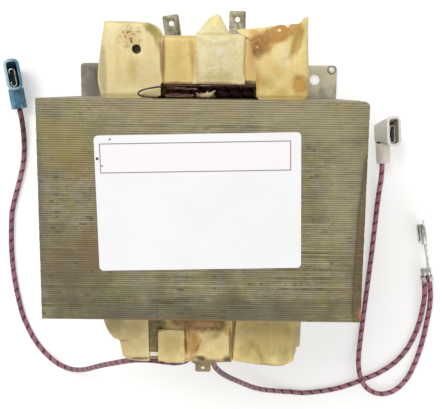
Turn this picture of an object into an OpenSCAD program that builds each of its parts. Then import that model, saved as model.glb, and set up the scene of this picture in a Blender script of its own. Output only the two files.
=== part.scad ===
// Microwave oven transformer.
// A welded E-I core stands on a sheet base plate. A primary coil (low) and a
// secondary coil (high) sit round its centre leg with magnetic shunts between
// them. Two turns of braided lead make the heater winding, and its tails run
// over the table to flag receptacles.
// X runs across the windows, Y through the stack, Z up from the plate's underside.

/* [Core] */
// Width of the core across both windows
core_w = 105; // [98:1:130]
// Height of the E laminations and the I laminations together
core_h = 87.5; // [80:0.5:110]
// Thickness of the stack of laminations
stack_t = 72; // [58:1:90]
// Width of the centre leg
leg_w = 35; // [28:0.5:40]
// Width of each outer leg
side_leg_w = 17.5; // [14:0.5:20]
// Height of the yoke at the back of the E
back_yoke_h = 17.5; // [14:0.5:21]
// Height of the I laminations
i_yoke_h = 17.5; // [14:0.5:21]
// Radius of the weld groove along the joint of E and I
weld_r = 1.6; // [1:0.1:2.5]

/* [Base plate] */
// Width of the plate, across the core
plate_w = 111; // [111:1:140]
// Thickness of the plate
plate_t = 1.5; // [1:0.1:3]
// How far each ear reaches past the stack
ear_reach = 14; // [12:0.5:20]
// Width of each ear
ear_w = 21; // [16:0.5:26]
// Radius of the ear's corners
ear_r = 1.6; // [0.5:0.1:4]
// Diameter of the mounting holes
hole_d = 4.5; // [3:0.1:6]
// Distance of a hole from the outer side of its ear
hole_inset_x = 9.5; // [7:0.5:12]
// Distance of a hole from the end of its ear
hole_inset_y = 6; // [5:0.5:8]

/* [Windings] */
// Height of the primary coil
primary_h = 20; // [12:0.5:24]
// Height of the shunt packs
shunt_h = 6; // [4:0.5:8]
// Gap between the end of the stack and a coil
coil_end_gap = 5; // [4.5:0.1:8]
// Inner corner radius of the coils
coil_in_r = 1.5; // [1:0.1:3]
// Diameter of the primary wire
primary_wire_d = 1.4; // [1:0.1:2]
// Diameter of the wire that earths the secondary
earth_wire_d = 0.6; // [0.4:0.1:1]
// Diameter of the braided lead
lead_d = 2.3; // [1.8:0.1:2.5]

/* [Paper and tape] */
// Thickness of the window and former papers
paper_t = 0.4; // [0.2:0.1:0.6]
// Thickness of the tape bands
tape_t = 0.6; // [0.4:0.1:1]
// How far the back papers reach past the stack
flap_back = 25.5; // [23:0.5:32]
// How far the front papers reach past the stack
flap_front = 24.5; // [22:0.5:32]

/* [Terminals] */
// Width of the primary tabs
tab_w = 6.35; // [4.8:0.05:7]
// Thickness of the tabs
tab_t = 0.8; // [0.5:0.1:1]
// Length of the back tabs beyond the coil
tab_len = 11; // [8:0.5:14]
// Width of the high voltage tab
hv_tab_w = 5.8; // [4:0.1:6.5]

/* [Receptacles] */
// Width of a receptacle across its rolled edges
box_w = 7.6; // [6.5:0.1:8.5]
// Length of a receptacle along the blade
box_h = 7.7; // [6:0.1:9]
// Radius of a rolled edge
roll_r = 1.3; // [1:0.1:1.6]
// Thickness of the sheet metal
sheet_t = 0.4; // [0.3:0.1:0.5]
// Wall of the moulded sleeves
sleeve_t = 0.8; // [0.5:0.1:1]
// Depth of a sleeve from its mouth to its floor
sleeve_h = 12.5; // [11:0.5:16]

/* [Label] */
// Width of the label
label_w = 65.5; // [40:0.5:90]
// Height of the label
label_h = 43.9; // [30:0.1:60]
// Thickness of the label
label_t = 0.15; // [0.1:0.05:0.4]
// Turn of the label, in degrees
label_turn = 1.6; // [-5:0.1:5]

/* [Hidden] */
$fn = 32;

fit_gap = 0.3;   // clearance between papers, coils and iron
touch = 0.1;     // clearance under a tape or a wrap
seat = 0.05;     // clearance where a lead ends on a face
e = 0.01;        // overrun of a cut

iron = [0.50, 0.48, 0.40];
bare_metal = [0.72, 0.72, 0.70];
copper = [0.62, 0.30, 0.16];
paper = [0.90, 0.82, 0.62];
gold_paper = [0.82, 0.68, 0.38];
tape = [0.86, 0.80, 0.62];
braid = [0.72, 0.42, 0.48];

// Heights of what is stacked in the windows
window_w = (core_w - leg_w) / 2 - side_leg_w;
window_z = plate_t + back_yoke_h;
window_top = plate_t + core_h - i_yoke_h;
core_top = plate_t + core_h;
lining = 2 * fit_gap + paper_t;
primary_z = window_z + lining;
primary_top = primary_z + primary_h;
shunt_z = primary_top + lining;
shunt_top = shunt_z + shunt_h;
heater_z = shunt_top + fit_gap + lead_d / 2;
secondary_z = shunt_top + lead_d + paper_t + tape_t + 2 * (fit_gap + touch);
secondary_top = window_top - lining;
secondary_h = secondary_top - secondary_z;

// Plan of the coils, as half widths
coil_in_x = leg_w / 2 + lining;
coil_in_y = stack_t / 2 + coil_end_gap;
coil_build = window_w - 2 * lining;
coil_out_x = coil_in_x + coil_build;
coil_out_y = coil_in_y + coil_build;
coil_out_r = coil_in_r + coil_build;
straight_x = coil_out_x - coil_out_r;   // half length of the coil's straight end

// ---------- helpers ----------

module rounded_rect(w, l, r) {
    square([w - 2 * r, l], center = true);
    square([w, l - 2 * r], center = true);
    for (sx = [-1, 1], sy = [-1, 1])
        translate([sx * (w / 2 - r), sy * (l / 2 - r)]) circle(r);
}

// Ring round the centre leg, given by its inner half widths and its build
module leg_ring(in_x, in_y, in_r, build, z, h) {
    translate([0, 0, z]) linear_extrude(h) difference() {
        rounded_rect(2 * (in_x + build), 2 * (in_y + build), in_r + build);
        rounded_rect(2 * in_x, 2 * in_y, in_r);
    }
}

// A sheet whose section follows points [y, z], t thick upwards, from x0 to x1
module bent_sheet(points, t, x0, x1) {
    n = len(points);
    outline = concat(points, [for (i = [n - 1:-1:0]) points[i] + [0, t]]);
    translate([x0, 0, 0]) rotate([90, 0, 90]) linear_extrude(x1 - x0) polygon(outline);
}

// A wall whose plan follows points [x, y], t thick towards -X, from z0 to z1
module bent_wall(points, t, z0, z1) {
    n = len(points);
    outline = concat(points, [for (i = [n - 1:-1:0]) points[i] - [t, 0]]);
    translate([0, 0, z0]) linear_extrude(z1 - z0) polygon(outline);
}

function unit(v) = v / norm(v);
function tangent(p, i) = unit(p[min(i + 1, len(p) - 1)] - p[max(i - 1, 0)]);

// Side directions along a route, each carried on from the one before without twist
function sides_of(p, i = 0, last = [0, 0, 1]) =
    i == len(p) ? [] :
    let (t = tangent(p, i), s = unit(last - (last * t) * t))
    concat([s], sides_of(p, i + 1, s));

// Round lead swept along the points of a route
module lead(route, d = lead_d, faces = 8) {
    n = len(route);
    side = sides_of(route);
    rings = [for (i = [0:n - 1]) let (t = tangent(route, i), u = side[i], v = cross(t, u))
        for (k = [0:faces - 1]) let (a = 360 * k / faces)
            route[i] + d / 2 * (cos(a) * u + sin(a) * v)];
    skin = [for (i = [0:n - 2], k = [0:faces - 1]) let (m = (k + 1) % faces)
        [i * faces + k, (i + 1) * faces + k, (i + 1) * faces + m, i * faces + m]];
    first = [for (k = [0:faces - 1]) k];
    final = [for (k = [faces - 1:-1:0]) (n - 1) * faces + k];
    polyhedron(rings, concat(skin, [first, final]), convexity = 8);
}

// Plan points of an arc at one height, or sloping from z0 to z1
function arc(cx, cy, r, a0, a1, z0, z1, n = 4) =
    [for (i = [0:n]) let (a = a0 + (a1 - a0) * i / n)
        [cx + r * cos(a), cy + r * sin(a), z0 + (z1 - z0) * i / n]];

// ---------- base and core ----------

plate_l = stack_t + 2 * ear_reach;
bolt_x = plate_w / 2 - hole_inset_x;
bolt_y = plate_l / 2 - hole_inset_y;

module base_plate() {
    color(bare_metal) linear_extrude(plate_t) difference() {
        union() {
            square([plate_w, stack_t], center = true);
            for (sx = [-1, 1])
                translate([sx * (plate_w - ear_w) / 2, 0]) rounded_rect(ear_w, plate_l, ear_r);
        }
        for (sx = [-1, 1], sy = [-1, 1])
            translate([sx * bolt_x, sy * bolt_y]) circle(d = hole_d);
    }
}

module weld_grooves(r) {
    for (sx = [-1, 1])
        translate([sx * core_w / 2, 0, window_top]) rotate([90, 0, 0])
            cylinder(r = r, h = stack_t + 2, center = true);
}

module core_e_stack() {
    color(iron) difference() {
        translate([0, stack_t / 2, 0]) rotate([90, 0, 0]) linear_extrude(stack_t) difference() {
            translate([-core_w / 2, plate_t]) square([core_w, core_h - i_yoke_h]);
            for (sx = [-1, 1])
                translate([sx * (leg_w + window_w) / 2 - window_w / 2, window_z])
                    square([window_w, core_h]);
        }
        weld_grooves(weld_r);
    }
}

module core_i_stack() {
    color(iron) difference() {
        translate([-core_w / 2, -stack_t / 2, window_top]) cube([core_w, stack_t, i_yoke_h]);
        weld_grooves(weld_r);
    }
}

module joint_weld(side) {
    color(bare_metal) translate([side * core_w / 2, 0, window_top]) rotate([90, 0, 0])
        cylinder(r = weld_r - touch, h = stack_t - 2, center = true);
}

base_weld_leg = 2;
base_weld_l = 14;

// Three stitches along one side of the core, on the plate
module base_weld(side) {
    color(bare_metal) for (y = [-1, 0, 1] * (stack_t - base_weld_l) / 2)
        translate([side * core_w / 2, y + base_weld_l / 2, plate_t]) rotate([90, 0, 0])
            linear_extrude(base_weld_l)
                polygon([[0, 0], [side * base_weld_leg, 0], [0, base_weld_leg]]);
}

// ---------- windings ----------

// Sweeps a section round the leg. The section's x runs outwards from the inner face.
module wound(in_x, in_y, in_r) {
    for (turn = [0:90:270]) {
        long = turn % 180 == 0;
        to_x = (long ? in_x : in_y) - in_r;
        to_y = (long ? in_y : in_x) - in_r;
        rotate(turn) translate([to_x, to_y, 0]) {
            rotate([90, 0, 0]) linear_extrude(2 * to_y) translate([in_r, 0]) children();
            rotate_extrude(angle = 90) translate([in_r, 0]) children();
        }
    }
}

rows = floor(primary_h / primary_wire_d);
row_pitch = primary_h / rows;

// Section of the primary: the block of inner layers, and the outer layer wire by wire
module primary_section() {
    square([coil_build - primary_wire_d / 2, primary_h]);
    for (i = [0:rows - 1])
        translate([coil_build - primary_wire_d / 2, (i + 0.5) * row_pitch]) circle(d = primary_wire_d);
}

module primary_coil() {
    color(copper) translate([0, 0, primary_z]) wound(coil_in_x, coil_in_y, coil_in_r)
        primary_section();
}

module secondary_coil() {
    color(gold_paper) leg_ring(coil_in_x, coil_in_y, coil_in_r, coil_build, secondary_z, secondary_h);
}

module former(z, h) {
    color(paper) leg_ring(coil_in_x - fit_gap - paper_t, coil_in_y - fit_gap - paper_t,
        coil_in_r - fit_gap, paper_t, z, h);
}

module shunt(side) {
    x = side > 0 ? leg_w / 2 : -leg_w / 2 - window_w;
    color(iron) translate([x, -stack_t / 2, shunt_z]) cube([window_w, stack_t, shunt_h]);
}

// Heater winding: two turns round the leg, the outer one first, with a tail at each end
turn_pitch = lead_d + touch;
turn_x = leg_w / 2 + fit_gap + lead_d / 2;
turn_y = stack_t / 2 + 2 * fit_gap + lead_d / 2;
turn_r = lead_d;
tail_r = 4;
tail_drop = lead_d + touch;
tail_end_y = -57;
tail_left_x = -2.2;
tail_right_x = 2.2;

// Corner of a turn: k is 0 for the inner turn and 1 for the outer one
function turn_corner(sx, sy, k, a0) =
    arc(sx * (turn_x - turn_r), sy * (turn_y - turn_r), turn_r + k * turn_pitch,
        a0, a0 - 90, heater_z, heater_z);

heater_route = concat(
    [[tail_left_x, tail_end_y, heater_z]],
    arc(tail_left_x - tail_r, -turn_y - turn_pitch - tail_r, tail_r, 0, 90, heater_z, heater_z),
    turn_corner(-1, -1, 1, 270), turn_corner(-1, 1, 1, 180), turn_corner(1, 1, 1, 90),
    turn_corner(1, -1, 1, 0),
    [[10, -turn_y - turn_pitch, heater_z], [-3, -turn_y, heater_z]],
    turn_corner(-1, -1, 0, 270), turn_corner(-1, 1, 0, 180), turn_corner(1, 1, 0, 90),
    turn_corner(1, -1, 0, 0),
    [[tail_right_x + tail_r + 5, -turn_y, heater_z - tail_drop / 2]],
    arc(tail_right_x + tail_r, -turn_y - tail_r, tail_r, 90, 180,
        heater_z - tail_drop, heater_z - tail_drop),
    [[tail_right_x, tail_end_y, heater_z - tail_drop]]
);

module heater_winding() {
    color(braid) lead(heater_route);
}

// ---------- papers and tapes ----------

// Ends of a window paper: inner edge of its top, reach of the top, reach of the wall,
// flare of the wall, width of the corner that is torn off the top
primary_ends = [20, 22, 22, 1, 0];
back_left_ends = [14, flap_back, flap_back, -1.1, 0];
back_right_ends = [17.2, flap_back + 0.7, flap_back + 0.7, -0.3, 0];
front_left_ends = [18.7, flap_front - 4.5, 7, 0, 11];
front_right_ends = [10.8, flap_front, 12.5, -0.1, 6];
flap_rise = 0.7;   // how far the secondary papers lift outside the window

// Window paper round one side of a coil, open towards the leg. Its top runs out over the
// coil's ends and lifts by rise, and so does its wall.
module liner(side, z, h, rise, back, front) {
    z0 = z - fit_gap - paper_t;
    z1 = z + h + fit_gap;
    x0 = coil_in_x;
    x1 = coil_out_x + fit_gap + paper_t;
    bend = stack_t / 2 + fit_gap;
    ramp = bend + 1.2;
    color(paper) mirror([side > 0 ? 0 : 1, 0, 0]) {
        bent_sheet([[-bend, z1], [bend, z1]], paper_t, x0, x1);
        translate([x0, -stack_t / 2 - front[2], z0])
            cube([x1 - x0, stack_t + front[2] + back[2], paper_t]);
        bent_wall([[x1 + front[3], -stack_t / 2 - front[2]], [x1, -bend], [x1, bend],
            [x1 + back[3], stack_t / 2 + back[2]]], paper_t, z0, z1 + paper_t);
        for (end = [back, front]) mirror([0, end == back ? 0 : 1, 0]) {
            tip = stack_t / 2 + end[1];
            bent_sheet([[bend, z1], [ramp, z1 + rise]], paper_t, x0 + coil_end_gap, x1);
            translate([0, 0, z1 + rise]) linear_extrude(paper_t)
                polygon([[x0 + coil_end_gap, ramp - e], [x1, ramp - e],
                    [x1 + end[3], stack_t / 2 + end[2]], [x1 + end[3] - end[4], tip],
                    [end[0], tip], [end[0], coil_in_y], [x0 + coil_end_gap, coil_in_y]]);
        }
    }
}

// Band over the end of a coil: top, outer face and underside, open towards the stack.
// It leaves room under its outer face for a foot of that thickness.
module end_band(side, z, h, x0, x1, clear, t, under = 0) {
    y1 = coil_out_y + clear + under;
    profile = [[coil_in_y, z - clear - t], [y1 + t, z - clear - t], [y1 + t, z + h + clear + t],
        [coil_in_y, z + h + clear + t], [coil_in_y, z + h + clear], [y1, z + h + clear],
        [y1, z - clear], [coil_in_y, z - clear]];
    mirror([0, side > 0 ? 0 : 1, 0]) translate([x0, 0, 0]) rotate([90, 0, 90])
        linear_extrude(x1 - x0) polygon(profile);
}

wrap_half = straight_x - 0.5;

module secondary_wrap(side) {
    color(gold_paper)
        end_band(side, secondary_z, secondary_h, -wrap_half, wrap_half, touch, paper_t);
}

splice_h = 9;         // height of the taped splice
splice_reach = 5.4;   // how far it stands out from the coil
splice_x = 4;         // its place across

// Tape over the wrap. On the back one a lump of tape covers a splice.
module secondary_tape(side, x0, x1) {
    clear = 2 * touch + paper_t;
    color(tape) {
        end_band(side, secondary_z, secondary_h, x0, x1, clear, tape_t);
        if (side > 0)
            translate([splice_x, coil_out_y + clear + e, secondary_top - splice_h])
                linear_extrude(splice_h)
                    polygon([[-4.6, 0], [-3.4, 3.4], [-1.6, splice_reach], [1.6, splice_reach],
                        [3.4, 3.4], [4.6, 0]]);
    }
}

tab_room = tab_t + touch;   // room for the feet of the tabs under the primary tape

module primary_tape(side) {
    color(tape) difference() {
        end_band(side, primary_z, primary_h, -wrap_half, wrap_half, touch, tape_t,
            side > 0 ? tab_room : 0);
        if (side > 0)
            for (tab = primary_tabs)
                tab_slot(tab);
    }
}

// ---------- terminals ----------

tab_z = primary_z + primary_h / 2;
tab_foot_h = 12;
tab_hole_d = 2;
tab_hole_in = 3.2;   // from the blade's end
tab_corner = 0.5;

// The primary tabs: place across, turn in plan, length past the one they share
primary_tabs = [[-13, 8, 0], [11.4, -1, 1.7]];

module tab_slot(tab) {
    translate([tab[0], coil_out_y, tab_z + tab_t / 2]) rotate([0, 0, tab[1]])
        cube([tab_w + 3 * fit_gap, 12, tab_t + 2 * fit_gap], center = true);
}

// Blade with a foot that lies on the coil under the tape
module blade_tab(tab) {
    length = tab_len + tab[2];
    color(bare_metal) translate([tab[0], coil_out_y + touch, tab_z]) {
        translate([-tab_w / 2, 0, -tab_foot_h / 2]) cube([tab_w, tab_t, tab_foot_h]);
        rotate([0, 0, tab[1]]) linear_extrude(tab_t) difference() {
            polygon([[-tab_w / 2, tab_t / 2], [tab_w / 2, tab_t / 2],
                [tab_w / 2, length - tab_corner], [tab_w / 2 - tab_corner, length],
                [-tab_w / 2 + tab_corner, length], [-tab_w / 2, length - tab_corner]]);
            translate([0, length - tab_hole_in]) circle(d = tab_hole_d);
        }
    }
}

hv_z = secondary_z + secondary_h / 2;
hv_foot_w = 8.8;
hv_foot_h = 8;
hv_step = 3.6;    // where its wide root ends
hv_reach = 7.4;
hv_hole_d = 1.3;
hv_hole_in = 1.4;

// Tab of the secondary: a strip on the tape with a narrow blade bent outwards
module hv_tab() {
    y0 = coil_out_y + 3 * touch + paper_t + tape_t;
    color(bare_metal) mirror([0, 1, 0]) translate([0, y0, hv_z]) {
        translate([-hv_foot_w / 2, 0, -hv_foot_h / 2]) cube([hv_foot_w, tab_t, hv_foot_h]);
        linear_extrude(tab_t) difference() {
            for (s = [0, 1]) mirror([s, 0])
                polygon([[-e, tab_t / 2], [hv_foot_w / 2, tab_t / 2], [hv_foot_w / 2, hv_step],
                    [hv_tab_w / 2, hv_step + 0.8], [hv_tab_w / 2, hv_reach - tab_corner],
                    [hv_tab_w / 2 - tab_corner, hv_reach], [-e, hv_reach]]);
            translate([0, hv_reach - hv_hole_in]) circle(d = hv_hole_d);
        }
    }
}

// Earth end of the secondary: it comes up along the former, runs out over the paper, turns
// back in a flat loop and ends in a spot on the face of the core
module ground_wire() {
    d = earth_wire_d;
    spot_t = 0.8;
    lift_r = 1;
    x_up = -leg_w / 2 + 3.5;
    x_loop = x_up - 6.6;
    x_spot = x_up - 2.4;
    y_out = coil_in_y - fit_gap - paper_t - touch - d / 2;
    y_back = stack_t / 2 + spot_t / 2;
    loop_r = (y_out - y_back) / 2;
    z = window_top + 2.5;
    z_start = secondary_top - 2;
    color(copper) {
        translate([x_up, y_out, z_start]) cylinder(d = d, h = z - lift_r - z_start);
        translate([x_up - lift_r, y_out, z - lift_r]) rotate([90, 0, 0])
            rotate_extrude(angle = 90) translate([lift_r, 0]) circle(d = d, $fn = 16);
        translate([x_loop, y_out, z]) rotate([0, 90, 0]) cylinder(d = d, h = x_up - lift_r - x_loop);
        translate([x_loop, y_out - loop_r, z]) rotate(90)
            rotate_extrude(angle = 180) translate([loop_r, 0]) circle(d = d, $fn = 16);
        translate([x_loop, y_back, z]) rotate([0, 90, 0]) cylinder(d = d, h = x_spot - x_loop);
        translate([x_spot, stack_t / 2, z]) rotate([-90, 0, 0]) cylinder(d = 4 * d, h = spot_t);
    }
}

label_r = 1.4;
module label() {
    color("white") translate([-1, 3.4, core_top]) rotate([0, 0, label_turn])
        linear_extrude(label_t) rounded_rect(label_w, label_h, label_r);
}

// ---------- leads on the table ----------

// Routes of the leads' centre lines
left_route = [
    [tail_left_x, tail_end_y, heater_z], [tail_left_x, tail_end_y - 1, heater_z],
    [-2.9, -61.6, 48.4], [-4.9, -64.6, 48.3], [-7.9, -66.6, 48.1], [-11.5, -67.3, 47.8],
    [-16, -67.2, 47.1], [-21, -67.2, 45.8], [-27.5, -68.5, 42.5], [-33, -71, 38],
    [-38.5, -74.2, 32.4], [-43.5, -77.4, 26.6], [-48.2, -80.8, 20.6], [-52.8, -84.2, 14.8],
    [-57.8, -87, 9.2], [-63.6, -88.2, 4.6], [-69.8, -86.4, 2], [-75.2, -81.8, 1.2],
    [-79.4, -76, 1.2], [-82.6, -69.4, 1.2], [-85, -62.4, 1.2], [-87.6, -48, 1.2],
    [-88.6, -33.2, 1.2], [-88, -18.4, 1.2], [-86.6, -11.2, 1.2], [-82.6, 3, 1.2],
    [-81.4, 10.2, 1.4], [-81, 17.4, 2.2], [-81.2, 24.4, 3.4], [-81.8, 29, 3.9],
    [-82.6, 34, 3.9]
];
right_route = [
    [tail_right_x, tail_end_y, heater_z - tail_drop],
    [tail_right_x, tail_end_y - 1, heater_z - tail_drop], [2.4, -62.5, 45.6], [3, -67, 44.2],
    [4.3, -71.4, 41.2], [6.3, -75.4, 37], [8.5, -78.8, 32.4], [11, -82.2, 27.6],
    [13.8, -85.4, 22.8], [17.4, -89.6, 16.6], [21.4, -93.6, 10.8], [26.4, -96.8, 6],
    [32.6, -98.8, 2.8], [39.6, -99.8, 1.4], [47, -100.2, 1.2], [61.4, -97.8, 1.2],
    [75.2, -92.4, 1.2], [81.8, -89, 1.2], [87.8, -84.4, 1.2], [92.4, -78.6, 1.2],
    [95.6, -72, 1.2], [97.6, -65, 1.4], [98.4, -58.4, 2.4], [98.6, -52.4, 3.6],
    [98.3, -47.2, 3.8], [97.5, -42.3, 3.8]
];
jumper_route = [
    [99.9, -41.9, 3.8], [100.7, -46.8, 3.8], [101.3, -52.4, 3.6], [101.5, -58.6, 2.4],
    [101, -65.2, 1.4], [100, -72.2, 1.2], [98.4, -79.4, 1.2], [96.2, -86.4, 1.2],
    [93, -93, 1.4], [87.8, -98.2, 1.8], [81.2, -99.8, 2.4], [75, -97, 3.4],
    [71.4, -91.6, 3.9], [70.2, -84.8, 3], [70.6, -77.4, 1.8], [71.8, -63, 1.2],
    [73, -48.6, 1.2], [74.2, -34.2, 1.2], [75.2, -19.8, 1.2], [75.6, -12.6, 1.4],
    [76, -5.4, 2.2], [76.4, 1.6, 3.5], [76.4, 7, 4.2], [76, 12.2, 4.2]
];

module lead_left() { color(braid) lead(left_route); }
module lead_right() { color(braid) lead(right_route); }
module lead_jumper() { color(braid) lead(jumper_route); }

// ---------- receptacles ----------

blade_room = 0.8;   // space beside a receptacle in its sleeve
end_room = 0.3;     // space at its ends
crimp_l = 3;        // length of a crimp on the wires
grip_l = 2.4;       // length of a crimp on the braid
neck_l = 8;         // length of a sleeve's neck
neck_in = 4;        // how far a lead runs into the neck
neck_t = 0.6;       // wall of the neck
neck_slack = 1.1;   // play of a crimp in the neck
slant = 4;          // how much shorter a sleeve's floor is than its mouth
lip = 0.3;          // how far the rim of a mouth stands out
crimp_d = lead_d + 0.6;
grip_r = lead_d / 2 + touch;
neck_d = 2 * (grip_r + sheet_t + fit_gap + neck_t) + neck_slack;
cavity_w = 2 * (roll_r + blade_room);
cavity_l = box_w + end_room + 2.9;
sleeve_d = cavity_w + 2 * sleeve_t;
sleeve_w = cavity_l + 2 * sleeve_t;
floor_z = -neck_d / 2;
mouth_z = floor_z + sleeve_h;
box_z = mouth_z - 0.6 - box_h;      // foot of a flag receptacle's box
body_y = neck_l - neck_in;          // where a sleeve's body starts
box_y = body_y + sleeve_t + end_room;

// Puts a part whose lead comes in along +Y at the end of a route, leaning by lean degrees
module at_end(last, before, lean) {
    d = last - before;
    translate(last) rotate([0, 0, atan2(d[1], d[0]) - 90]) rotate([0, lean, 0])
        translate([0, seat, 0]) children();
}

// Section of a rolled receptacle: a floor with an edge rolled over at each side
module rolled_section() {
    translate([-box_w / 2 + roll_r, 0]) square([box_w - 2 * roll_r, sheet_t]);
    for (s = [-1, 1]) mirror([s > 0 ? 0 : 1, 0]) translate([box_w / 2 - roll_r, roll_r])
        difference() {
            circle(roll_r);
            circle(roll_r - sheet_t);
            translate([-2 * roll_r, -e]) square([2 * roll_r, roll_r - sheet_t]);
            translate([-2 * roll_r, -roll_r + sheet_t]) square([2 * roll_r, roll_r - sheet_t]);
        }
}

// Crimp pressed shut on the bare wires, with the seam where its two wings meet
module wire_crimp(w) {
    rotate([-90, 0, 0]) linear_extrude(crimp_l) difference() {
        rounded_rect(w, crimp_d, crimp_d / 2 - 0.2);
        translate([0, -crimp_d / 2]) rotate(45) square(0.8, center = true);
    }
}

// Crimp bent round the braid of leads that lie w apart from side to side, open on top.
// Its floor runs on under the wire crimp.
module braid_grip(w) {
    in_w = w + 2 * touch;
    translate([0, -grip_l - 0.4, 0]) rotate([-90, 0, 0]) linear_extrude(grip_l) difference() {
        rounded_rect(in_w + 2 * sheet_t, 2 * (grip_r + sheet_t), grip_r + sheet_t - e);
        rounded_rect(in_w, 2 * grip_r, grip_r - e);
        translate([0, -grip_r]) square([in_w / 3, 2 * grip_r], center = true);
    }
    translate([-0.8, -grip_l - 0.4, -grip_r - sheet_t]) cube([1.6, grip_l + 1.4, sheet_t]);
}

// Flag receptacle: a crimp on the lead, and a box that opens upwards beside it
module flag_receptacle(shift) {
    floor_x = shift + roll_r - sheet_t;
    color(bare_metal) {
        wire_crimp(crimp_d);
        braid_grip(lead_d);
        translate([0, 0, -1.2]) linear_extrude(2.4)
            polygon([[-0.2, crimp_l - 1], [0.2, crimp_l - 1], [floor_x + sheet_t, box_y],
                [floor_x + sheet_t, box_y + 3], [floor_x, box_y + 3], [floor_x, box_y]]);
        translate([floor_x, box_y + roll_r, -1.2]) cube([sheet_t, 3, box_z + 2]);
        translate([shift + roll_r, box_y + box_w / 2, box_z]) rotate([0, 0, 90])
            linear_extrude(box_h) rolled_section();
    }
}

// Outline of a sleeve's side, in by d all round: its far end slants in towards the floor
module sleeve_side(d) {
    rise = mouth_z - floor_z;
    translate([-sleeve_d, 0, 0]) rotate([90, 0, 90]) linear_extrude(2 * sleeve_d)
        polygon([[body_y + d, floor_z + d], [body_y + sleeve_w - slant - d, floor_z + d],
            [body_y + sleeve_w - d + slant * (1 + d) / rise, mouth_z + 1 + (d > 0 ? 1 : 0)],
            [body_y + d, mouth_z + 1 + (d > 0 ? 1 : 0)]]);
}

// Moulded sleeve of a flag receptacle: a deep mouth with a rim, and a neck for the lead
module flag_sleeve(tint, shift, end_d, ribs) {
    middle = body_y + sleeve_w / 2;
    color(tint) difference() {
        union() {
            intersection() {
                translate([shift, middle, floor_z]) linear_extrude(sleeve_h)
                    rounded_rect(sleeve_d, sleeve_w, sleeve_d / 2 - 0.6);
                translate([shift, 0, 0]) sleeve_side(0);
            }
            translate([shift, middle, mouth_z - 1]) linear_extrude(1)
                rounded_rect(sleeve_d + 2 * lip, sleeve_w + 2 * lip, sleeve_d / 2 - 0.6 + lip);
            translate([shift / 2, -neck_in, 0]) rotate([-90, 0, 0]) {
                cylinder(d1 = end_d, d2 = neck_d, h = neck_l + sleeve_t);
                for (i = [0:ribs - 1]) rotate(360 * (i + 0.5) / ribs)
                    translate([min(end_d, neck_d) / 2, 0, 0.6])
                        cylinder(r = 0.4, h = neck_l - 0.3);
            }
        }
        intersection() {
            translate([shift, middle, floor_z]) linear_extrude(2 * sleeve_h)
                rounded_rect(cavity_w, cavity_l, cavity_w / 2 - 0.6);
            translate([shift, 0, 0]) sleeve_side(sleeve_t);
        }
        translate([shift / 2, -neck_in - e, 0]) rotate([-90, 0, 0])
            cylinder(d1 = end_d - 2 * neck_t, d2 = neck_d - 2 * neck_t, h = neck_l + 2 * sleeve_t);
    }
}

left_end = left_route[len(left_route) - 1];
left_before = left_route[len(left_route) - 2];
jumper_end = jumper_route[len(jumper_route) - 1];
jumper_before = jumper_route[len(jumper_route) - 2];
right_end = right_route[len(right_route) - 1];
right_before = right_route[len(right_route) - 2];
blue_lean = 16;
white_lean = 15;
white_shift = 1.2;   // the white sleeve hangs to one side of its lead

module blue_sleeve() {
    at_end(left_end, left_before, blue_lean) flag_sleeve([0.23, 0.47, 0.60], 0, neck_d + 0.4, 8);
}
module blue_receptacle() {
    at_end(left_end, left_before, blue_lean) flag_receptacle(-0.3);
}
module white_sleeve() {
    at_end(jumper_end, jumper_before, white_lean)
        flag_sleeve([0.85, 0.82, 0.75], white_shift, neck_d - 0.2, 0);
}
module white_receptacle() {
    at_end(jumper_end, jumper_before, white_lean) flag_receptacle(white_shift - 0.5);
}

// Bare straight receptacle on edge, crimped to both leads
module bare_terminal() {
    gap = norm(jumper_route[0] - right_end);
    middle = (right_end + jumper_route[0]) / 2;
    plate_x = roll_r - sheet_t;
    waist_h = 2.4;          // height of the plate between crimp and box
    waist_to = crimp_l + 6;
    box_from = crimp_l + 12;
    edge_z = box_w / 2 - roll_r;
    tip_l = 2.4;
    color(bare_metal) at_end(middle, middle + right_before - right_end, 0) {
        wire_crimp(gap + lead_d);
        braid_grip(gap + lead_d);
        translate([plate_x, 0, 0]) rotate([90, 0, 90]) linear_extrude(sheet_t)
            polygon([[1, -waist_h / 2], [waist_to, -waist_h / 2], [box_from, -edge_z],
                [box_from + 1, -edge_z], [box_from + 1, edge_z], [box_from, edge_z],
                [waist_to, waist_h / 2], [1, waist_h / 2]]);
        translate([roll_r - e, crimp_l + 4.5, 0]) rotate([0, 90, 0]) cylinder(d = 1.2, h = 0.3);
        translate([roll_r, box_from, 0]) rotate([-90, 90, 0]) linear_extrude(box_h)
            rolled_section();
        translate([plate_x, box_from + box_h - e, 0]) rotate([90, 0, 90]) linear_extrude(sheet_t)
            polygon([[0, -1.5], [tip_l, -0.6], [tip_l, 0.6], [0, 1.5]]);
    }
}

base_plate();
core_e_stack();
core_i_stack();
joint_weld(-1);  // joint_weld_left
joint_weld(1);  // joint_weld_right
base_weld(-1);  // base_weld_left
base_weld(1);  // base_weld_right
primary_coil();
secondary_coil();
heater_winding();
former(primary_z, primary_h);  // primary_former
former(secondary_z, secondary_h);  // secondary_former
shunt(-1);  // shunt_left
shunt(1);  // shunt_right
liner(-1, primary_z, primary_h, 0, primary_ends, primary_ends);  // primary_liner_left
liner(1, primary_z, primary_h, 0, primary_ends, primary_ends);  // primary_liner_right
liner(-1, secondary_z, secondary_h, flap_rise, back_left_ends, front_left_ends);  // secondary_liner_left
liner(1, secondary_z, secondary_h, flap_rise, back_right_ends, front_right_ends);  // secondary_liner_right
secondary_wrap(1);  // secondary_wrap_back
secondary_wrap(-1);  // secondary_wrap_front
primary_tape(1);  // primary_tape_back
primary_tape(-1);  // primary_tape_front
secondary_tape(1, -4.2, 13.6);  // secondary_tape_back
secondary_tape(-1, -15.8, 10.6);  // secondary_tape_front
blade_tab(primary_tabs[0]);  // primary_tab_left
blade_tab(primary_tabs[1]);  // primary_tab_right
hv_tab();
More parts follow.
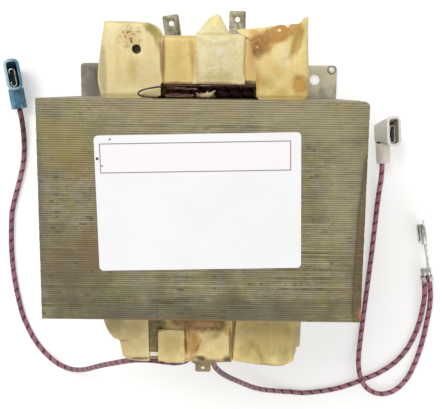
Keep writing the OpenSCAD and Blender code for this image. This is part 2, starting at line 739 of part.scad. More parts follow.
ground_wire();
label();
lead_left();
lead_right();
lead_jumper();
blue_sleeve();
blue_receptacle();
white_sleeve();
white_receptacle();
bare_terminal();
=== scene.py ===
# %% [markdown]
# # A microwave oven transformer
#
# The transformer is a heavy little thing: a block of thin iron sheets, two coils round its middle
# leg, cream insulating paper that sticks out at both ends, and heater leads that trail over the
# table. Its construction is already fixed in a frame of named nodes. This lesson gives each piece
# its real surface, and stays inside the frame's box.

# %% Load the frame
import math
import random

import bmesh
import bpy
from mathutils import Matrix, Vector, noise


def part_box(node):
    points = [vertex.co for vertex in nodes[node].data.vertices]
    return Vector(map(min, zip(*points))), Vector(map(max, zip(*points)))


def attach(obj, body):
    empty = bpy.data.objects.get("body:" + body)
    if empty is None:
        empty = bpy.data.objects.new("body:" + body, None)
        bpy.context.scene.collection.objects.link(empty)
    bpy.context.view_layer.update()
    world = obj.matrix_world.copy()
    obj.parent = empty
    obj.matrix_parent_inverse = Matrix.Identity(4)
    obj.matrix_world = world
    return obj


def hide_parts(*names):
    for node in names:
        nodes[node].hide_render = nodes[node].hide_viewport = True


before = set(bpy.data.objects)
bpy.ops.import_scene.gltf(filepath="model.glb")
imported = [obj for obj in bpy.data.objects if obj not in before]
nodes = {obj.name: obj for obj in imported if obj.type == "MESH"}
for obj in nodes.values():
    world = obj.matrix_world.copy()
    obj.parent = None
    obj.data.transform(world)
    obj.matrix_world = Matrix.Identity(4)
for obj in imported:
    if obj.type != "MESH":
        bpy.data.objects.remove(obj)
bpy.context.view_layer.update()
scene = bpy.context.scene

# %% [markdown]
# All sizes here are in metres, and every place comes from the frame. A short name for a
# millimetre keeps the numbers readable. The core, the two coils and the shunts between them give
# all the heights and half widths that the papers and tapes follow.

# %% Shared sizes
MM = 0.001
core_low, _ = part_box("core_e_stack")
_, core_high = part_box("core_i_stack")
primary_low, primary_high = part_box("primary_coil")
secondary_low, secondary_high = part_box("secondary_coil")
shunt_low, shunt_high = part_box("shunt_right")
joint_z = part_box("core_i_stack")[0].z
leg_half = shunt_low.x          # half width of the centre leg
window_out = shunt_high.x       # outer side of a window
stack_half = core_high.y
fit_gap = 0.3 * MM
paper_t = 0.4 * MM
lining = 2 * fit_gap + paper_t
coil_in_x = leg_half + lining
coil_in_r = 1.5 * MM
coil_build = primary_high.x - coil_in_x
coil_in_y = primary_high.y - coil_build
coil_out_x, coil_out_y = primary_high.x, primary_high.y
lead_d = 2.3 * MM
print("coil build", round(coil_build / MM, 2), "mm, joint at", round(joint_z / MM, 1), "mm")

# %% [markdown]
# ## Camera
#
# The transformer is seen from almost straight above, as if from a copy stand, from a little
# behind its back edge. The lens is longer than a normal one, so the top of the core looks only
# slightly larger than the base plate.

# %% Set the camera
camera_data = bpy.data.cameras.new("camera")
camera_data.sensor_width = 36
camera_data.lens = 57
camera = bpy.data.objects.new("camera", camera_data)
camera.location = (6.6 * MM, 39.1 * MM, 310.2 * MM)
camera.rotation_euler = [math.radians(a) for a in (-9.3, 0.23, 0.65)]
scene.collection.objects.link(camera)
scene.camera = camera
print("camera", round(camera.location.z / MM), "mm above the table")

# %% [markdown]
# ## Leads
#
# A lead has a fixed length and lies where its stiffness puts it. Each route below is the list of
# points that its centre line follows, in millimetres, the same ones as in the construction. A
# smooth curve through them gives the body of the braid.

# %% Routes of the three leads
left_route = [
    (-2.2, -57, 48.45), (-2.2, -58, 48.45), (-2.9, -61.6, 48.4), (-4.9, -64.6, 48.3),
    (-7.9, -66.6, 48.1), (-11.5, -67.3, 47.8), (-16, -67.2, 47.1), (-21, -67.2, 45.8),
    (-27.5, -68.5, 42.5), (-33, -71, 38), (-38.5, -74.2, 32.4), (-43.5, -77.4, 26.6),
    (-48.2, -80.8, 20.6), (-52.8, -84.2, 14.8), (-57.8, -87, 9.2), (-63.6, -88.2, 4.6),
    (-69.8, -86.4, 2), (-75.2, -81.8, 1.2), (-79.4, -76, 1.2), (-82.6, -69.4, 1.2),
    (-85, -62.4, 1.2), (-87.6, -48, 1.2), (-88.6, -33.2, 1.2), (-88, -18.4, 1.2),
    (-86.6, -11.2, 1.2), (-82.6, 3, 1.2), (-81.4, 10.2, 1.4), (-81, 17.4, 2.2),
    (-81.2, 24.4, 3.4), (-81.8, 29, 3.9), (-82.6, 34, 3.9),
]
right_route = [
    (2.2, -57, 46.05), (2.2, -58, 46.05), (2.4, -62.5, 45.6), (3, -67, 44.2),
    (4.3, -71.4, 41.2), (6.3, -75.4, 37), (8.5, -78.8, 32.4), (11, -82.2, 27.6),
    (13.8, -85.4, 22.8), (17.4, -89.6, 16.6), (21.4, -93.6, 10.8), (26.4, -96.8, 6),
    (32.6, -98.8, 2.8), (39.6, -99.8, 1.4), (47, -100.2, 1.2), (61.4, -97.8, 1.2),
    (75.2, -92.4, 1.2), (81.8, -89, 1.2), (87.8, -84.4, 1.2), (92.4, -78.6, 1.2),
    (95.6, -72, 1.2), (97.6, -65, 1.4), (98.4, -58.4, 2.4), (98.6, -52.4, 3.6),
    (98.3, -47.2, 3.8), (97.5, -42.3, 3.8),
]
jumper_route = [
    (99.9, -41.9, 3.8), (100.7, -46.8, 3.8), (101.3, -52.4, 3.6), (101.5, -58.6, 2.4),
    (101, -65.2, 1.4), (100, -72.2, 1.2), (98.4, -79.4, 1.2), (96.2, -86.4, 1.2),
    (93, -93, 1.4), (87.8, -98.2, 1.8), (81.2, -99.8, 2.4), (75, -97, 3.4),
    (71.4, -91.6, 3.9), (70.2, -84.8, 3), (70.6, -77.4, 1.8), (71.8, -63, 1.2),
    (73, -48.6, 1.2), (74.2, -34.2, 1.2), (75.2, -19.8, 1.2), (75.6, -12.6, 1.4),
    (76, -5.4, 2.2), (76.4, 1.6, 3.5), (76.4, 7, 4.2), (76, 12.2, 4.2),
]
print("points in the routes:", len(left_route), len(right_route), len(jumper_route))

# %% [markdown]
# The heater winding is the same lead, wound twice round the leg just above the shunts. The outer
# turn comes first, and each end leaves between the papers at the front. Its route is worked out
# from the sizes of the core: straight runs, joined by quarter circles at the corners.

# %% Route of the heater winding
lead_mm = lead_d / MM
turn_pitch = lead_mm + 0.1
turn_x = leg_half / MM + 0.3 + lead_mm / 2
turn_y = stack_half / MM + 0.6 + lead_mm / 2
turn_z = left_route[0][2]
turn_r = lead_mm
tail_r = 4


def arc(cx, cy, r, a0, a1, z, count=4):
    """Points of an arc in plan at one height, in millimetres."""
    angles = [math.radians(a0 + (a1 - a0) * i / count) for i in range(count + 1)]
    return [(cx + r * math.cos(a), cy + r * math.sin(a), z) for a in angles]


def turn_corner(sx, sy, outer, a0):
    """Corner of a turn; outer is 1 for the turn that lies outside."""
    return arc(sx * (turn_x - turn_r), sy * (turn_y - turn_r), turn_r + outer * turn_pitch,
               a0, a0 - 90, turn_z)


(left_x, tail_y, _), (right_x, _, low_z) = left_route[0], right_route[0]
heater_route = [
    (left_x, tail_y, turn_z),
    *arc(left_x - tail_r, -turn_y - turn_pitch - tail_r, tail_r, 0, 90, turn_z),
    *turn_corner(-1, -1, 1, 270), *turn_corner(-1, 1, 1, 180), *turn_corner(1, 1, 1, 90),
    *turn_corner(1, -1, 1, 0),
    (10, -turn_y - turn_pitch, turn_z), (-3, -turn_y, turn_z),
    *turn_corner(-1, -1, 0, 270), *turn_corner(-1, 1, 0, 180), *turn_corner(1, 1, 0, 90),
    *turn_corner(1, -1, 0, 0),
    (right_x + tail_r + 5, -turn_y, (turn_z + low_z) / 2),
    *arc(right_x + tail_r, -turn_y - tail_r, tail_r, 90, 180, low_z),
    (right_x, tail_y, low_z),
]
print("the heater winding has", len(heater_route), "points")

# %% [markdown]
# A smooth curve runs through the points of each route. Its points are then averaged with their
# neighbours three times, because a stiff lead never bends sharply.

# %% A smooth line through points
def smooth_line(points, step):
    """Points about one step apart on a smooth curve through the given ones, in metres."""
    p = [Vector(q) * MM for q in points]
    p = [2 * p[0] - p[1], *p, 2 * p[-1] - p[-2]]
    line = []
    for a, b, c, d in zip(p, p[1:], p[2:], p[3:]):
        count = max(2, round((c - b).length / step))
        for i in range(count):
            t = i / count
            line.append(0.5 * ((2 * b) + (c - a) * t + (2 * a - 5 * b + 4 * c - d) * t * t
                               + (3 * b - a - 3 * c + d) * t ** 3))
    line.append(p[-2])
    for _ in range(3):
        line = [line[0], *[(a + 2 * b + c) / 4 for a, b, c in zip(line, line[1:], line[2:])],
                line[-1]]
    return line


def length_of(line):
    return sum((b - a).length for a, b in zip(line, line[1:]))


print("the heater winding is", round(length_of(smooth_line(heater_route, MM)), 2), "m long")

# %% [markdown]
# The real sleeve is a braid of glass yarn, lacquered pink, with a dark tracer yarn. A plain tube
# with a printed pattern would look flat where it bends. So each point of the tube is lifted or
# lowered by the braid's own pattern, and the yarns are there in the mesh.

# %% Relief of the braid
BRAID_YARNS = 8          # yarns that run each way round
BRAID_LAY = 11 * MM      # length of one turn of a yarn
BRAID_RELIEF = 0.09 * MM


def braid_height(turn, along):
    """Height of the braid, 0 to 1, at a turn (0 to 1) and a length along the lead."""
    right = BRAID_YARNS * (turn + along / BRAID_LAY)
    left = BRAID_YARNS * (turn - along / BRAID_LAY)
    crown_right = 0.5 + 0.5 * math.cos(2 * math.pi * right)
    crown_left = 0.5 + 0.5 * math.cos(2 * math.pi * left)
    over = 0.5 + 0.5 * math.sin(math.pi * right) * math.sin(math.pi * left)
    return over * crown_right + (1 - over) * crown_left


# %% [markdown]
# The tube is built ring by ring along the line. Its UV map counts turns round the lead and
# millimetres along it, and the colour of the tracer will follow it.

# %% A tube along a line
RING_STEP = 0.3 * MM
RING_SIDES = 32


def tube(name, line, diameter, height=lambda turn, along: 1.0, sides=RING_SIDES):
    """A closed tube along a line, with the relief that the height function gives."""
    mesh = bpy.data.meshes.new(name)
    bm = bmesh.new()
    uv = bm.loops.layers.uv.new("along")
    tangents = [(line[min(i + 1, len(line) - 1)] - line[max(i - 1, 0)]).normalized()
                for i in range(len(line))]
    side = Vector((0, 0, 1)) if abs(tangents[0].z) < 0.9 else Vector((0, 1, 0))
    along, rings, lengths = 0.0, [], []
    for i, (centre, tangent) in enumerate(zip(line, tangents)):
        along += (centre - line[i - 1]).length if i else 0.0
        side = (side - side.dot(tangent) * tangent).normalized()
        across = tangent.cross(side)
        ring = []
        for k in range(sides):
            turn = k / sides
            r = diameter / 2 + BRAID_RELIEF * (height(turn, along) - 1)
            angle = 2 * math.pi * turn
            ring.append(bm.verts.new(centre + r * (math.cos(angle) * side
                                                   + math.sin(angle) * across)))
        rings.append(ring)
        lengths.append(along)
    for i, (first, second) in enumerate(zip(rings, rings[1:])):
        for k in range(sides):
            m = (k + 1) % sides
            face = bm.faces.new((first[k], first[m], second[m], second[k]))
            corners = ((k, i), (k + 1, i), (k + 1, i + 1), (k, i + 1))
            for loop, (turn, ring) in zip(face.loops, corners):
                loop[uv].uv = (turn / sides, lengths[ring] / MM)
            face.smooth = True
    bm.faces.new(list(reversed(rings[0])))
    bm.faces.new(rings[-1])
    bmesh.ops.recalc_face_normals(bm, faces=bm.faces)
    bm.to_mesh(mesh)
    bm.free()
    piece = bpy.data.objects.new(name, mesh)
    scene.collection.objects.link(piece)
    return piece


# %% [markdown]
# Each finished piece is kept with one call: it rides on the transformer's only body, and it
# stands for a node of the frame, which isn't shown any more.

# %% Lay the leads and the heater winding
def keep(piece, node_name):
    """The piece belongs to the transformer and stands for this node."""
    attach(piece, "root")
    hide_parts(node_name)
    print(piece.name, "has", len(piece.data.polygons), "faces")
    return piece


lead_plan = {
    "lead_left": (left_route, ["blue_sleeve", "blue_receptacle"]),
    "lead_right": (right_route, ["bare_terminal"]),
    "lead_jumper": (jumper_route, ["white_sleeve", "white_receptacle"]),
}
leads = {}
for node_name, (route, on_it) in lead_plan.items():
    line = smooth_line(route, RING_STEP)
    lead = keep(tube("braid_" + node_name, line, lead_d, braid_height),
                node_name)
    leads[node_name] = (lead, line, on_it)
    print(node_name, "is", round(length_of(line) / MM, 1), "mm long")
heater = keep(tube("heater_turns", smooth_line(heater_route, RING_STEP), lead_d, braid_height, 24),
              "heater_winding")

# %% [markdown]
# ## Table and light
#
# A material is a tree of nodes, and a tree made link by link is hard to read. The helper below
# adds one node a call and hands back its output, so that a tree reads like a few lines of
# arithmetic.

# %% Helper for node trees
class Tree:
    """A node tree with short calls that add a node and return its output."""

    def __init__(self, tree):
        self.tree = tree

    def node(self, kind, inputs, **settings):
        """A new node. An input is linked where it is a socket, and set where it is a value."""
        made = self.tree.nodes.new(kind)
        for key, value in settings.items():
            setattr(made, key, value)
        for key, value in inputs.items():
            if isinstance(value, bpy.types.NodeSocket):
                self.tree.links.new(value, made.inputs[key])
            else:
                made.inputs[key].default_value = value
        return made

    def math(self, operation, a, b=0.0):
        return self.node("ShaderNodeMath", {0: a, 1: b}, operation=operation).outputs[0]

    def vector(self, operation, a, b=(0, 0, 0)):
        made = self.node("ShaderNodeVectorMath", {0: a, 1: b}, operation=operation)
        return made.outputs["Value" if operation == "LENGTH" else "Vector"]

    def turned(self, vector, angle):
        """A vector turned round Z."""
        return self.node("ShaderNodeVectorRotate", {"Vector": vector, "Angle": angle}).outputs[0]

    def mix(self, low, high, mask):
        """From colour low, where the mask is 0, to colour high, where it is 1."""
        return self.node("ShaderNodeMix", {0: mask, 6: low, 7: high},
                         data_type="RGBA").outputs[2]

    def spread(self, value, low, high, to_low=0.0, to_high=1.0):
        """Stretches low..high to to_low..to_high, and holds the ends."""
        return self.node("ShaderNodeMapRange", {0: value, 1: low, 2: high, 3: to_low,
                                                4: to_high}).outputs[0]

    def noise(self, vector, scale, detail=3.0, seed=0.0, rough=0.5):
        return self.node("ShaderNodeTexNoise",
                         {"Vector": vector, "W": seed, "Scale": scale, "Detail": detail,
                          "Roughness": rough}, noise_dimensions="4D").outputs[0]

    def place(self):
        """Place on the piece in millimetres."""
        here = self.node("ShaderNodeTexCoord", {}).outputs["Object"]
        return self.node("ShaderNodeVectorMath", {0: here, 3: 1 / MM},
                         operation="SCALE").outputs[0]

    def parts(self, vector):
        return self.node("ShaderNodeSeparateXYZ", {0: vector}).outputs[:3]

    def joined(self, x, y, z):
        return self.node("ShaderNodeCombineXYZ", {0: x, 1: y, 2: z}).outputs[0]

    def carried(self, name):
        """A number that the mesh carries as an attribute."""
        return self.node("ShaderNodeAttribute", {}, attribute_name=name).outputs["Fac"]

    def use(self, group, *outputs, **inputs):
        """Places a node group, and returns its first output or the ones that are named."""
        made = self.node("ShaderNodeGroup", inputs, node_tree=group.tree)
        if len(outputs) > 1:
            return [made.outputs[name] for name in outputs]
        return made.outputs[outputs[0] if outputs else 0]


def empty_tree(material):
    material.use_nodes = True
    material.node_tree.nodes.clear()
    return material.node_tree


# %% [markdown]
# The object lies on a plain white sheet. The sheet adds a little light of its own, only towards
# the camera and in reflections, so that it reads as white while it still takes the soft shadow
# of the object.

# %% White table
bpy.ops.object.select_all(action="DESELECT")
bpy.ops.mesh.primitive_plane_add(size=3)
table = bpy.context.object
table.name = "table"
table_material = bpy.data.materials.new("table white")
tree = Tree(empty_tree(table_material))
ray = tree.node("ShaderNodeLightPath", {}).outputs
seen = tree.math("MAXIMUM", ray["Is Camera Ray"], ray["Is Glossy Ray"])
lit = tree.node("ShaderNodeBsdfDiffuse", {"Color": (0.80, 0.80, 0.79, 1)})
glow = tree.node("ShaderNodeEmission", {"Strength": tree.math("MULTIPLY", seen, 0.38)})
both = tree.node("ShaderNodeAddShader", {0: lit.outputs[0], 1: glow.outputs[0]})
tree.node("ShaderNodeOutputMaterial", {"Surface": both.outputs[0]})
table.data.materials.append(table_material)
print("the table is", round(table.dimensions.x, 1), "m wide")

# %% [markdown]
# The light is a broad, even sky with a soft lamp high over the back edge, as in a light tent, and
# a weaker lamp across from it. Most of it comes from above, so that the grooves between the
# sheets and the undersides of the papers stay darker than what faces up.

# %% Sky and lamps
world = bpy.data.worlds.new("light tent")
scene.world = world
world.use_nodes = True
sky = world.node_tree.nodes["Background"]
sky.inputs["Color"].default_value = (1, 1, 1, 1)
sky.inputs["Strength"].default_value = 0.52


def soft_lamp(name, place, size, power):
    """A square lamp that looks at the middle of the object."""
    data = bpy.data.lights.new(name, "AREA")
    data.size = size
    data.energy = power
    lamp = bpy.data.objects.new(name, data)
    lamp.location = place
    to_middle = Vector((0, 0, 0.04)) - Vector(place)
    lamp.rotation_euler = to_middle.to_track_quat("-Z", "Y").to_euler()
    scene.collection.objects.link(lamp)


soft_lamp("key lamp", (-0.35, 0.55, 0.9), size=0.5, power=5.7)
soft_lamp("fill lamp", (0.6, -0.5, 0.6), size=0.6, power=1.6)
scene.view_settings.view_transform = "Standard"

# %% [markdown]
# ## Tools of the bench
#
# Most pieces start as a cube, a circle or a grid and are shaped in edit mode. An operator acts
# on everything that is selected, so each helper first clears the selection.

# %% Select and edit
def clear_selection():
    """Leaves edit mode, and deselects every object."""
    if bpy.context.mode != "OBJECT":
        bpy.ops.object.mode_set(mode="OBJECT")
    bpy.ops.object.select_all(action="DESELECT")


def activate(piece):
    clear_selection()
    piece.select_set(True)
    bpy.context.view_layer.objects.active = piece


def edit(piece):
    """Opens a piece in edit mode with all of it selected."""
    activate(piece)
    bpy.ops.object.mode_set(mode="EDIT")
    bpy.ops.mesh.select_all(action="SELECT")


def block(name, low, high):
    """A cube stretched between two corners, with its place in its mesh."""
    clear_selection()
    low, high = Vector(low), Vector(high)
    bpy.ops.mesh.primitive_cube_add(size=1, location=(low + high) / 2)
    piece = bpy.context.object
    piece.name = piece.data.name = name
    piece.scale = high - low
    bpy.ops.object.transform_apply(location=True, rotation=True, scale=True)
    return piece


# %% [markdown]
# `pick` chooses faces or edges by a rule on the way that they point, as one would with a click.
# A modifier is applied at once, so that the next step works on real points.

# %% Cut, pick and bevel
def cut_across(axis, places):
    """In edit mode, cuts the whole piece across an axis (0, 1, 2) at each of these places."""
    normal = [float(i == axis) for i in range(3)]
    for place in places:
        bpy.ops.mesh.select_all(action="SELECT")
        bpy.ops.mesh.bisect(plane_co=[place * n for n in normal], plane_no=normal)


def pick(piece, kind, rule):
    """In edit mode, selects each edge or face that passes rule(way it points, its middle)."""
    bpy.ops.mesh.select_mode(type=kind)
    bpy.ops.mesh.select_all(action="DESELECT")
    bm = bmesh.from_edit_mesh(piece.data)
    for part in bm.edges if kind == "EDGE" else bm.faces:
        a, b = part.verts[0].co, part.verts[1].co
        if kind == "EDGE":
            chosen = rule((b - a).normalized(), (a + b) / 2)
        else:
            chosen = rule(part.normal, part.calc_center_median())
        if chosen:
            part.select_set(True)
    bmesh.update_edit_mesh(piece.data)


def finish_with(piece, kind, **settings):
    """Adds a modifier with these settings and applies it."""
    activate(piece)
    modifier = piece.modifiers.new(kind.lower(), kind)
    for key, value in settings.items():
        setattr(modifier, key, value)
    bpy.ops.object.modifier_apply(modifier=modifier.name)


def break_edges(piece, width, **settings):
    """A narrow flat bevel on the sharp edges, as a cut sheet has."""
    finish_with(piece, "BEVEL", width=width, segments=1, limit_method="ANGLE", **settings)


# %% [markdown]
# ## The core
#
# The core is a stack of a hundred layers of thin iron, each an E-shaped sheet closed by an
# I-shaped one. A solid block with lines painted on it would look false at its edges, where the
# sheets never lie quite flush. So one E and one I are modelled and copied through the stack. The
# E is a strip with three legs drawn up out of it, and the I is a plain strip.

# %% One E sheet and one I sheet
SHEETS = 100
pitch = 2 * stack_half / SHEETS
sheet_edge = 0.07 * MM
window_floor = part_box("primary_liner_left")[0].z - fit_gap
print(SHEETS, "layers of", round(pitch / MM, 2), "mm")


def is_leg(way, middle):
    """True for an upper face of a yoke where one of its three legs stands."""
    x = abs(middle.x)
    return way.z > 0.9 and (x < leg_half or x > window_out)


def blank(name, z_low, z_high, cuts):
    """A blank one sheet thick, cut across at these places; in edit mode."""
    sheet = block(name, (core_low.x, 0, z_low), (core_high.x, pitch, z_high))
    edit(sheet)
    cut_across(0, cuts)
    return sheet


def e_sheet():
    sheet = blank("e_sheet", core_low.z, window_floor,
                  (-window_out, -leg_half, leg_half, window_out))
    pick(sheet, "FACE", is_leg)
    rise = joint_z - window_floor
    bpy.ops.mesh.extrude_region_move(TRANSFORM_OT_translate={"value": (0, 0, rise)})
    break_edges(sheet, sheet_edge)
    return sheet


def i_sheet():
    width = core_high.x - core_low.x
    sheet = blank("i_sheet", joint_z, core_high.z,
                  [core_low.x + width * i / 10 for i in range(1, 10)])
    break_edges(sheet, sheet_edge)
    return sheet


# %% [markdown]
# A stack takes three more tools: a copy that is moved inside its mesh, a join, and a smooth
# random value that makes edges and surfaces uneven.

# %% Copy, join and ripple
def own_copy(piece, shift=(0, 0, 0)):
    """A copy with its own mesh, moved by shift inside the mesh."""
    copy = piece.copy()
    copy.data = piece.data.copy()
    copy.data.transform(Matrix.Translation(shift))
    scene.collection.objects.link(copy)
    return copy


def joined(name, parts):
    """One piece out of several."""
    clear_selection()
    for part in parts:
        part.select_set(True)
    bpy.context.view_layer.objects.active = parts[0]
    bpy.ops.object.join()
    parts[0].name = parts[0].data.name = name
    return parts[0]


def ripple(x, y, z, size, depth):
    """A smooth random value of about plus or minus depth, with bumps of about that size."""
    return depth * 1.6 * noise.noise(Vector((x / size, y / size, z / size)))


# %% [markdown]
# The sides of each copy are shifted by less than a tenth of a millimetre, and the top of an I
# drops by about as much. Each sheet carries a random number that its finish will use. The back
# right corner of the I stack is worn round.

# %% Stack the sheets
def numbered_copy(sheet, number, move, shift=(0, 0, 0)):
    """A copy of a sheet that carries its number; move says where each of its points goes."""
    copy = own_copy(sheet, shift)
    shade = copy.data.attributes.new("sheet", "FLOAT", "POINT")
    for vertex, value in zip(copy.data.vertices, shade.data):
        vertex.co = move(vertex.co.copy())
        value.value = number
    return copy


def stack(name, sheet, seed, wander):
    """Copies a sheet through the stack; wander moves a point of sheet number i."""
    rng = random.Random(seed)
    sheets = []
    for i in range(SHEETS):
        number = rng.random()
        side = rng.uniform(-0.09, 0.09) * MM
        drop = rng.uniform(0, 0.12) * MM
        sheets.append(numbered_copy(sheet, number, lambda p: wander(i, p, side, drop)))
    bpy.data.objects.remove(sheet)
    return joined(name, sheets)


def e_place(i, p, side, drop):
    """An E's outer sides lie a little in or out, inside the frame's box, and it doesn't drop."""
    p.y += -stack_half + i * pitch
    if abs(p.x) > window_out + MM:
        p.x += side if p.x > 0 else -side
        p.x = max(core_low.x, min(core_high.x, p.x))
    return p


corner_r = 1.8 * MM     # radius of the worn corner


def i_place(i, p, side, drop):
    """As an E, and its top is a little low and uneven; the corner shortens the last sheets."""
    if p.z > joint_z + MM:
        p.z -= drop + abs(ripple(p.x / MM, 9 * i, 0, 14, 0.05)) * MM
    p = e_place(i, p, side, drop)
    worn = p.y - (stack_half - corner_r)
    if worn > 0 and p.x > core_high.x - MM:
        p.x -= corner_r - math.sqrt(max(corner_r ** 2 - worn ** 2, 0))
    return p


e_stack = keep(stack("e_sheets", e_sheet(), 11, e_place), "core_e_stack")
i_stack = keep(stack("i_sheets", i_sheet(), 12, i_place), "core_i_stack")

# %% [markdown]
# Each shunt is a small pack of the same iron, laid flat between the coils, so its sheets show
# as a few level lines when one looks into the window.

# %% Shunt packs
def shunt(side_name):
    low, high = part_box("shunt_" + side_name)
    count = 8
    step = (high.z - low.z) / count
    strip = block("strip", low, (high.x, high.y, low.z + step))
    break_edges(strip, sheet_edge)
    rng = random.Random(side_name)
    strips = []
    for i in range(count):
        short = rng.uniform(-0.25, 0.0) * MM
        number = rng.random()
        strips.append(numbered_copy(
            strip, number, lambda p: p + Vector((0, short if p.y > 0 else -short, 0)),
            (0, 0, i * step)))
    bpy.data.objects.remove(strip)
    return keep(joined("shunt_pack_" + side_name, strips),
                "shunt_" + side_name)


shunts = [shunt("left"), shunt("right")]

# %% [markdown]
# The joint of E and I is closed by one long weld on each side. A weld is a row of small frozen
# pools, so one pool is a short open tube that swells and narrows; copies of it are merged into a
# bead, capped at both ends, and roughened a little.

# %% Weld beads
MERGE = 0.002 * MM   # points closer than this are one
pool_length = 1.3 * MM
neck_r = 1.204 * MM      # radius between two pools
SWELLS = (1.13, 1.03)    # how much a pool grows after its neck, in two steps


def smooth(piece, degrees=40):
    activate(piece)
    bpy.ops.object.shade_smooth_by_angle(angle=math.radians(degrees))


def bead(side_name):
    """A rippled bead along Y at the middle of its node's box."""
    weld_name = "joint_weld_" + side_name
    low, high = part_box(weld_name)
    middle = (low + high) / 2
    count = round((high.y - low.y) / pool_length)
    step = (high.y - low.y) / count
    clear_selection()
    bpy.ops.mesh.primitive_circle_add(vertices=16, radius=neck_r,
                                      rotation=(math.radians(90), 0, 0))
    ring = bpy.context.object
    ring.location = (middle.x, low.y, middle.z)
    bpy.ops.object.transform_apply(location=True, rotation=True, scale=True)
    edit(ring)
    for part, swell in ((0.25, SWELLS[0]), (0.35, SWELLS[1]), (0.4, 1 / SWELLS[0] / SWELLS[1])):
        bpy.ops.mesh.extrude_region_move(
            TRANSFORM_OT_translate={"value": (0, step * part, 0)})
        bpy.ops.transform.resize(value=(swell, 1, swell))
    bpy.ops.object.mode_set(mode="OBJECT")
    pools = [own_copy(ring, (0, step * i, 0)) for i in range(count)]
    bpy.data.objects.remove(ring)
    piece = joined("joint_bead_" + side_name, pools)
    edit(piece)
    bpy.ops.mesh.remove_doubles(threshold=MERGE)
    bpy.ops.mesh.select_mode(type="EDGE")
    bpy.ops.mesh.select_all(action="DESELECT")
    bpy.ops.mesh.select_non_manifold()
    bpy.ops.mesh.edge_face_add()
    bpy.ops.mesh.select_all(action="SELECT")
    bpy.ops.mesh.normals_make_consistent(inside=False)
    bpy.ops.object.mode_set(mode="OBJECT")
    for vertex in piece.data.vertices:
        x, y, z = vertex.co / MM
        vertex.co.z += ripple(x, y, z, 2.5, 0.12) * MM
        vertex.co.x += ripple(z, y, x, 2.5, 0.06) * MM
    smooth(piece, 60)
    return keep(piece, weld_name)


joint_beads = [bead("left"), bead("right")]

# %% [markdown]
# The short stitches that hold the core on its plate are fillets: a wedge in the corner between
# the two. The wedge is cut across many times, and each slice is swollen or drawn in, which gives
# the same frozen ripples.

# %% Stitches along the plate
slice_t = 0.5 * MM
stitch_ripple = 2.4 * MM


def merged_copy(name, node_name):
    """A copy of a node's solid, its loose triangles merged into whole faces; in edit mode."""
    piece = bpy.data.objects.new(name, nodes[node_name].data.copy())
    scene.collection.objects.link(piece)
    piece.data.materials.clear()
    edit(piece)
    bpy.ops.mesh.remove_doubles(threshold=MERGE)
    bpy.ops.mesh.dissolve_limited(angle_limit=math.radians(1))
    return piece


def stitches(side_name):
    weld_name = "base_weld_" + side_name
    low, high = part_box(weld_name)
    piece = merged_copy("plate_stitches_" + side_name, weld_name)
    slices = math.ceil((high.y - low.y) / slice_t)
    cut_across(1, [low.y + slice_t * i for i in range(1, slices + 1)])
    bpy.ops.object.mode_set(mode="OBJECT")
    wall = core_high.x
    for vertex in piece.data.vertices:
        swell = 0.84 + 0.14 * abs(math.sin(math.pi * vertex.co.y / stitch_ripple))
        out_from_wall = abs(vertex.co.x) - wall
        if out_from_wall > 0.2 * MM:
            vertex.co.x = math.copysign(wall + out_from_wall * swell, vertex.co.x)
        if vertex.co.z > low.z + 0.2 * MM:
            vertex.co.z = low.z + (vertex.co.z - low.z) * swell
    smooth(piece, 50)
    return keep(piece, weld_name)


all_stitches = [stitches("left"), stitches("right")]

# %% [markdown]
# The base plate is stamped from sheet steel. Its solid already has the right outline and holes;
# a stamped edge is slightly rolled over, which a small bevel gives. At the corner of one ear a
# drop of varnish has dried: a flattened ball, with its skin sunk in the middle.

# %% Base plate
def worked_copy(name, node_name, edge):
    """A merged copy of a node's solid, with its edges rounded as tooling leaves them."""
    piece = merged_copy(name, node_name)
    finish_with(piece, "BEVEL", width=edge, segments=2, limit_method="ANGLE",
                angle_limit=math.radians(35), use_clamp_overlap=True)
    smooth(piece)
    return piece


def dished_ball(centre, radius, stretch, up, cap, rim, sides, degrees):
    """A stretched ball with a hollow: inside a rim, its up side has sunk. The up side is where
    the normal agrees with up by more than cap; sides are the ball's segments and rings."""
    clear_selection()
    bpy.ops.mesh.primitive_uv_sphere_add(segments=sides[0], ring_count=sides[1], radius=radius,
                                         location=centre)
    ball = bpy.context.object
    ball.scale = stretch
    bpy.ops.object.transform_apply(location=True, rotation=True, scale=True)
    edit(ball)
    pick(ball, "FACE", lambda way, middle: way.dot(up) > cap)
    bpy.ops.mesh.inset(thickness=rim)
    bpy.ops.transform.translate(value=up * -0.12 * MM)
    smooth(ball, degrees)
    return ball


stamped = worked_copy("stamped_plate", "base_plate", 0.25 * MM)
DROP = (53.2, 48.2)   # where the varnish dried, in mm
drop = dished_ball((DROP[0] * MM, DROP[1] * MM, core_low.z), 1.7 * MM, (1, 0.94, 0.35),
                   Vector((0, 0, 1)), 0.86, 0.1 * MM, (24, 16), 50)
plate = keep(joined("stamped_plate", [stamped, drop]), "base_plate")

# %% [markdown]
# ## Windings
#
# Every winding goes round the leg in the same way: a straight, a quarter circle, a straight, and
# so on. The section is a circle of points put where the winding's outline needs them. It is
# extruded along a straight and spun round a corner, four times, and its end meets its start.

# %% Wind a section round the leg
CORNER_STEPS = 6


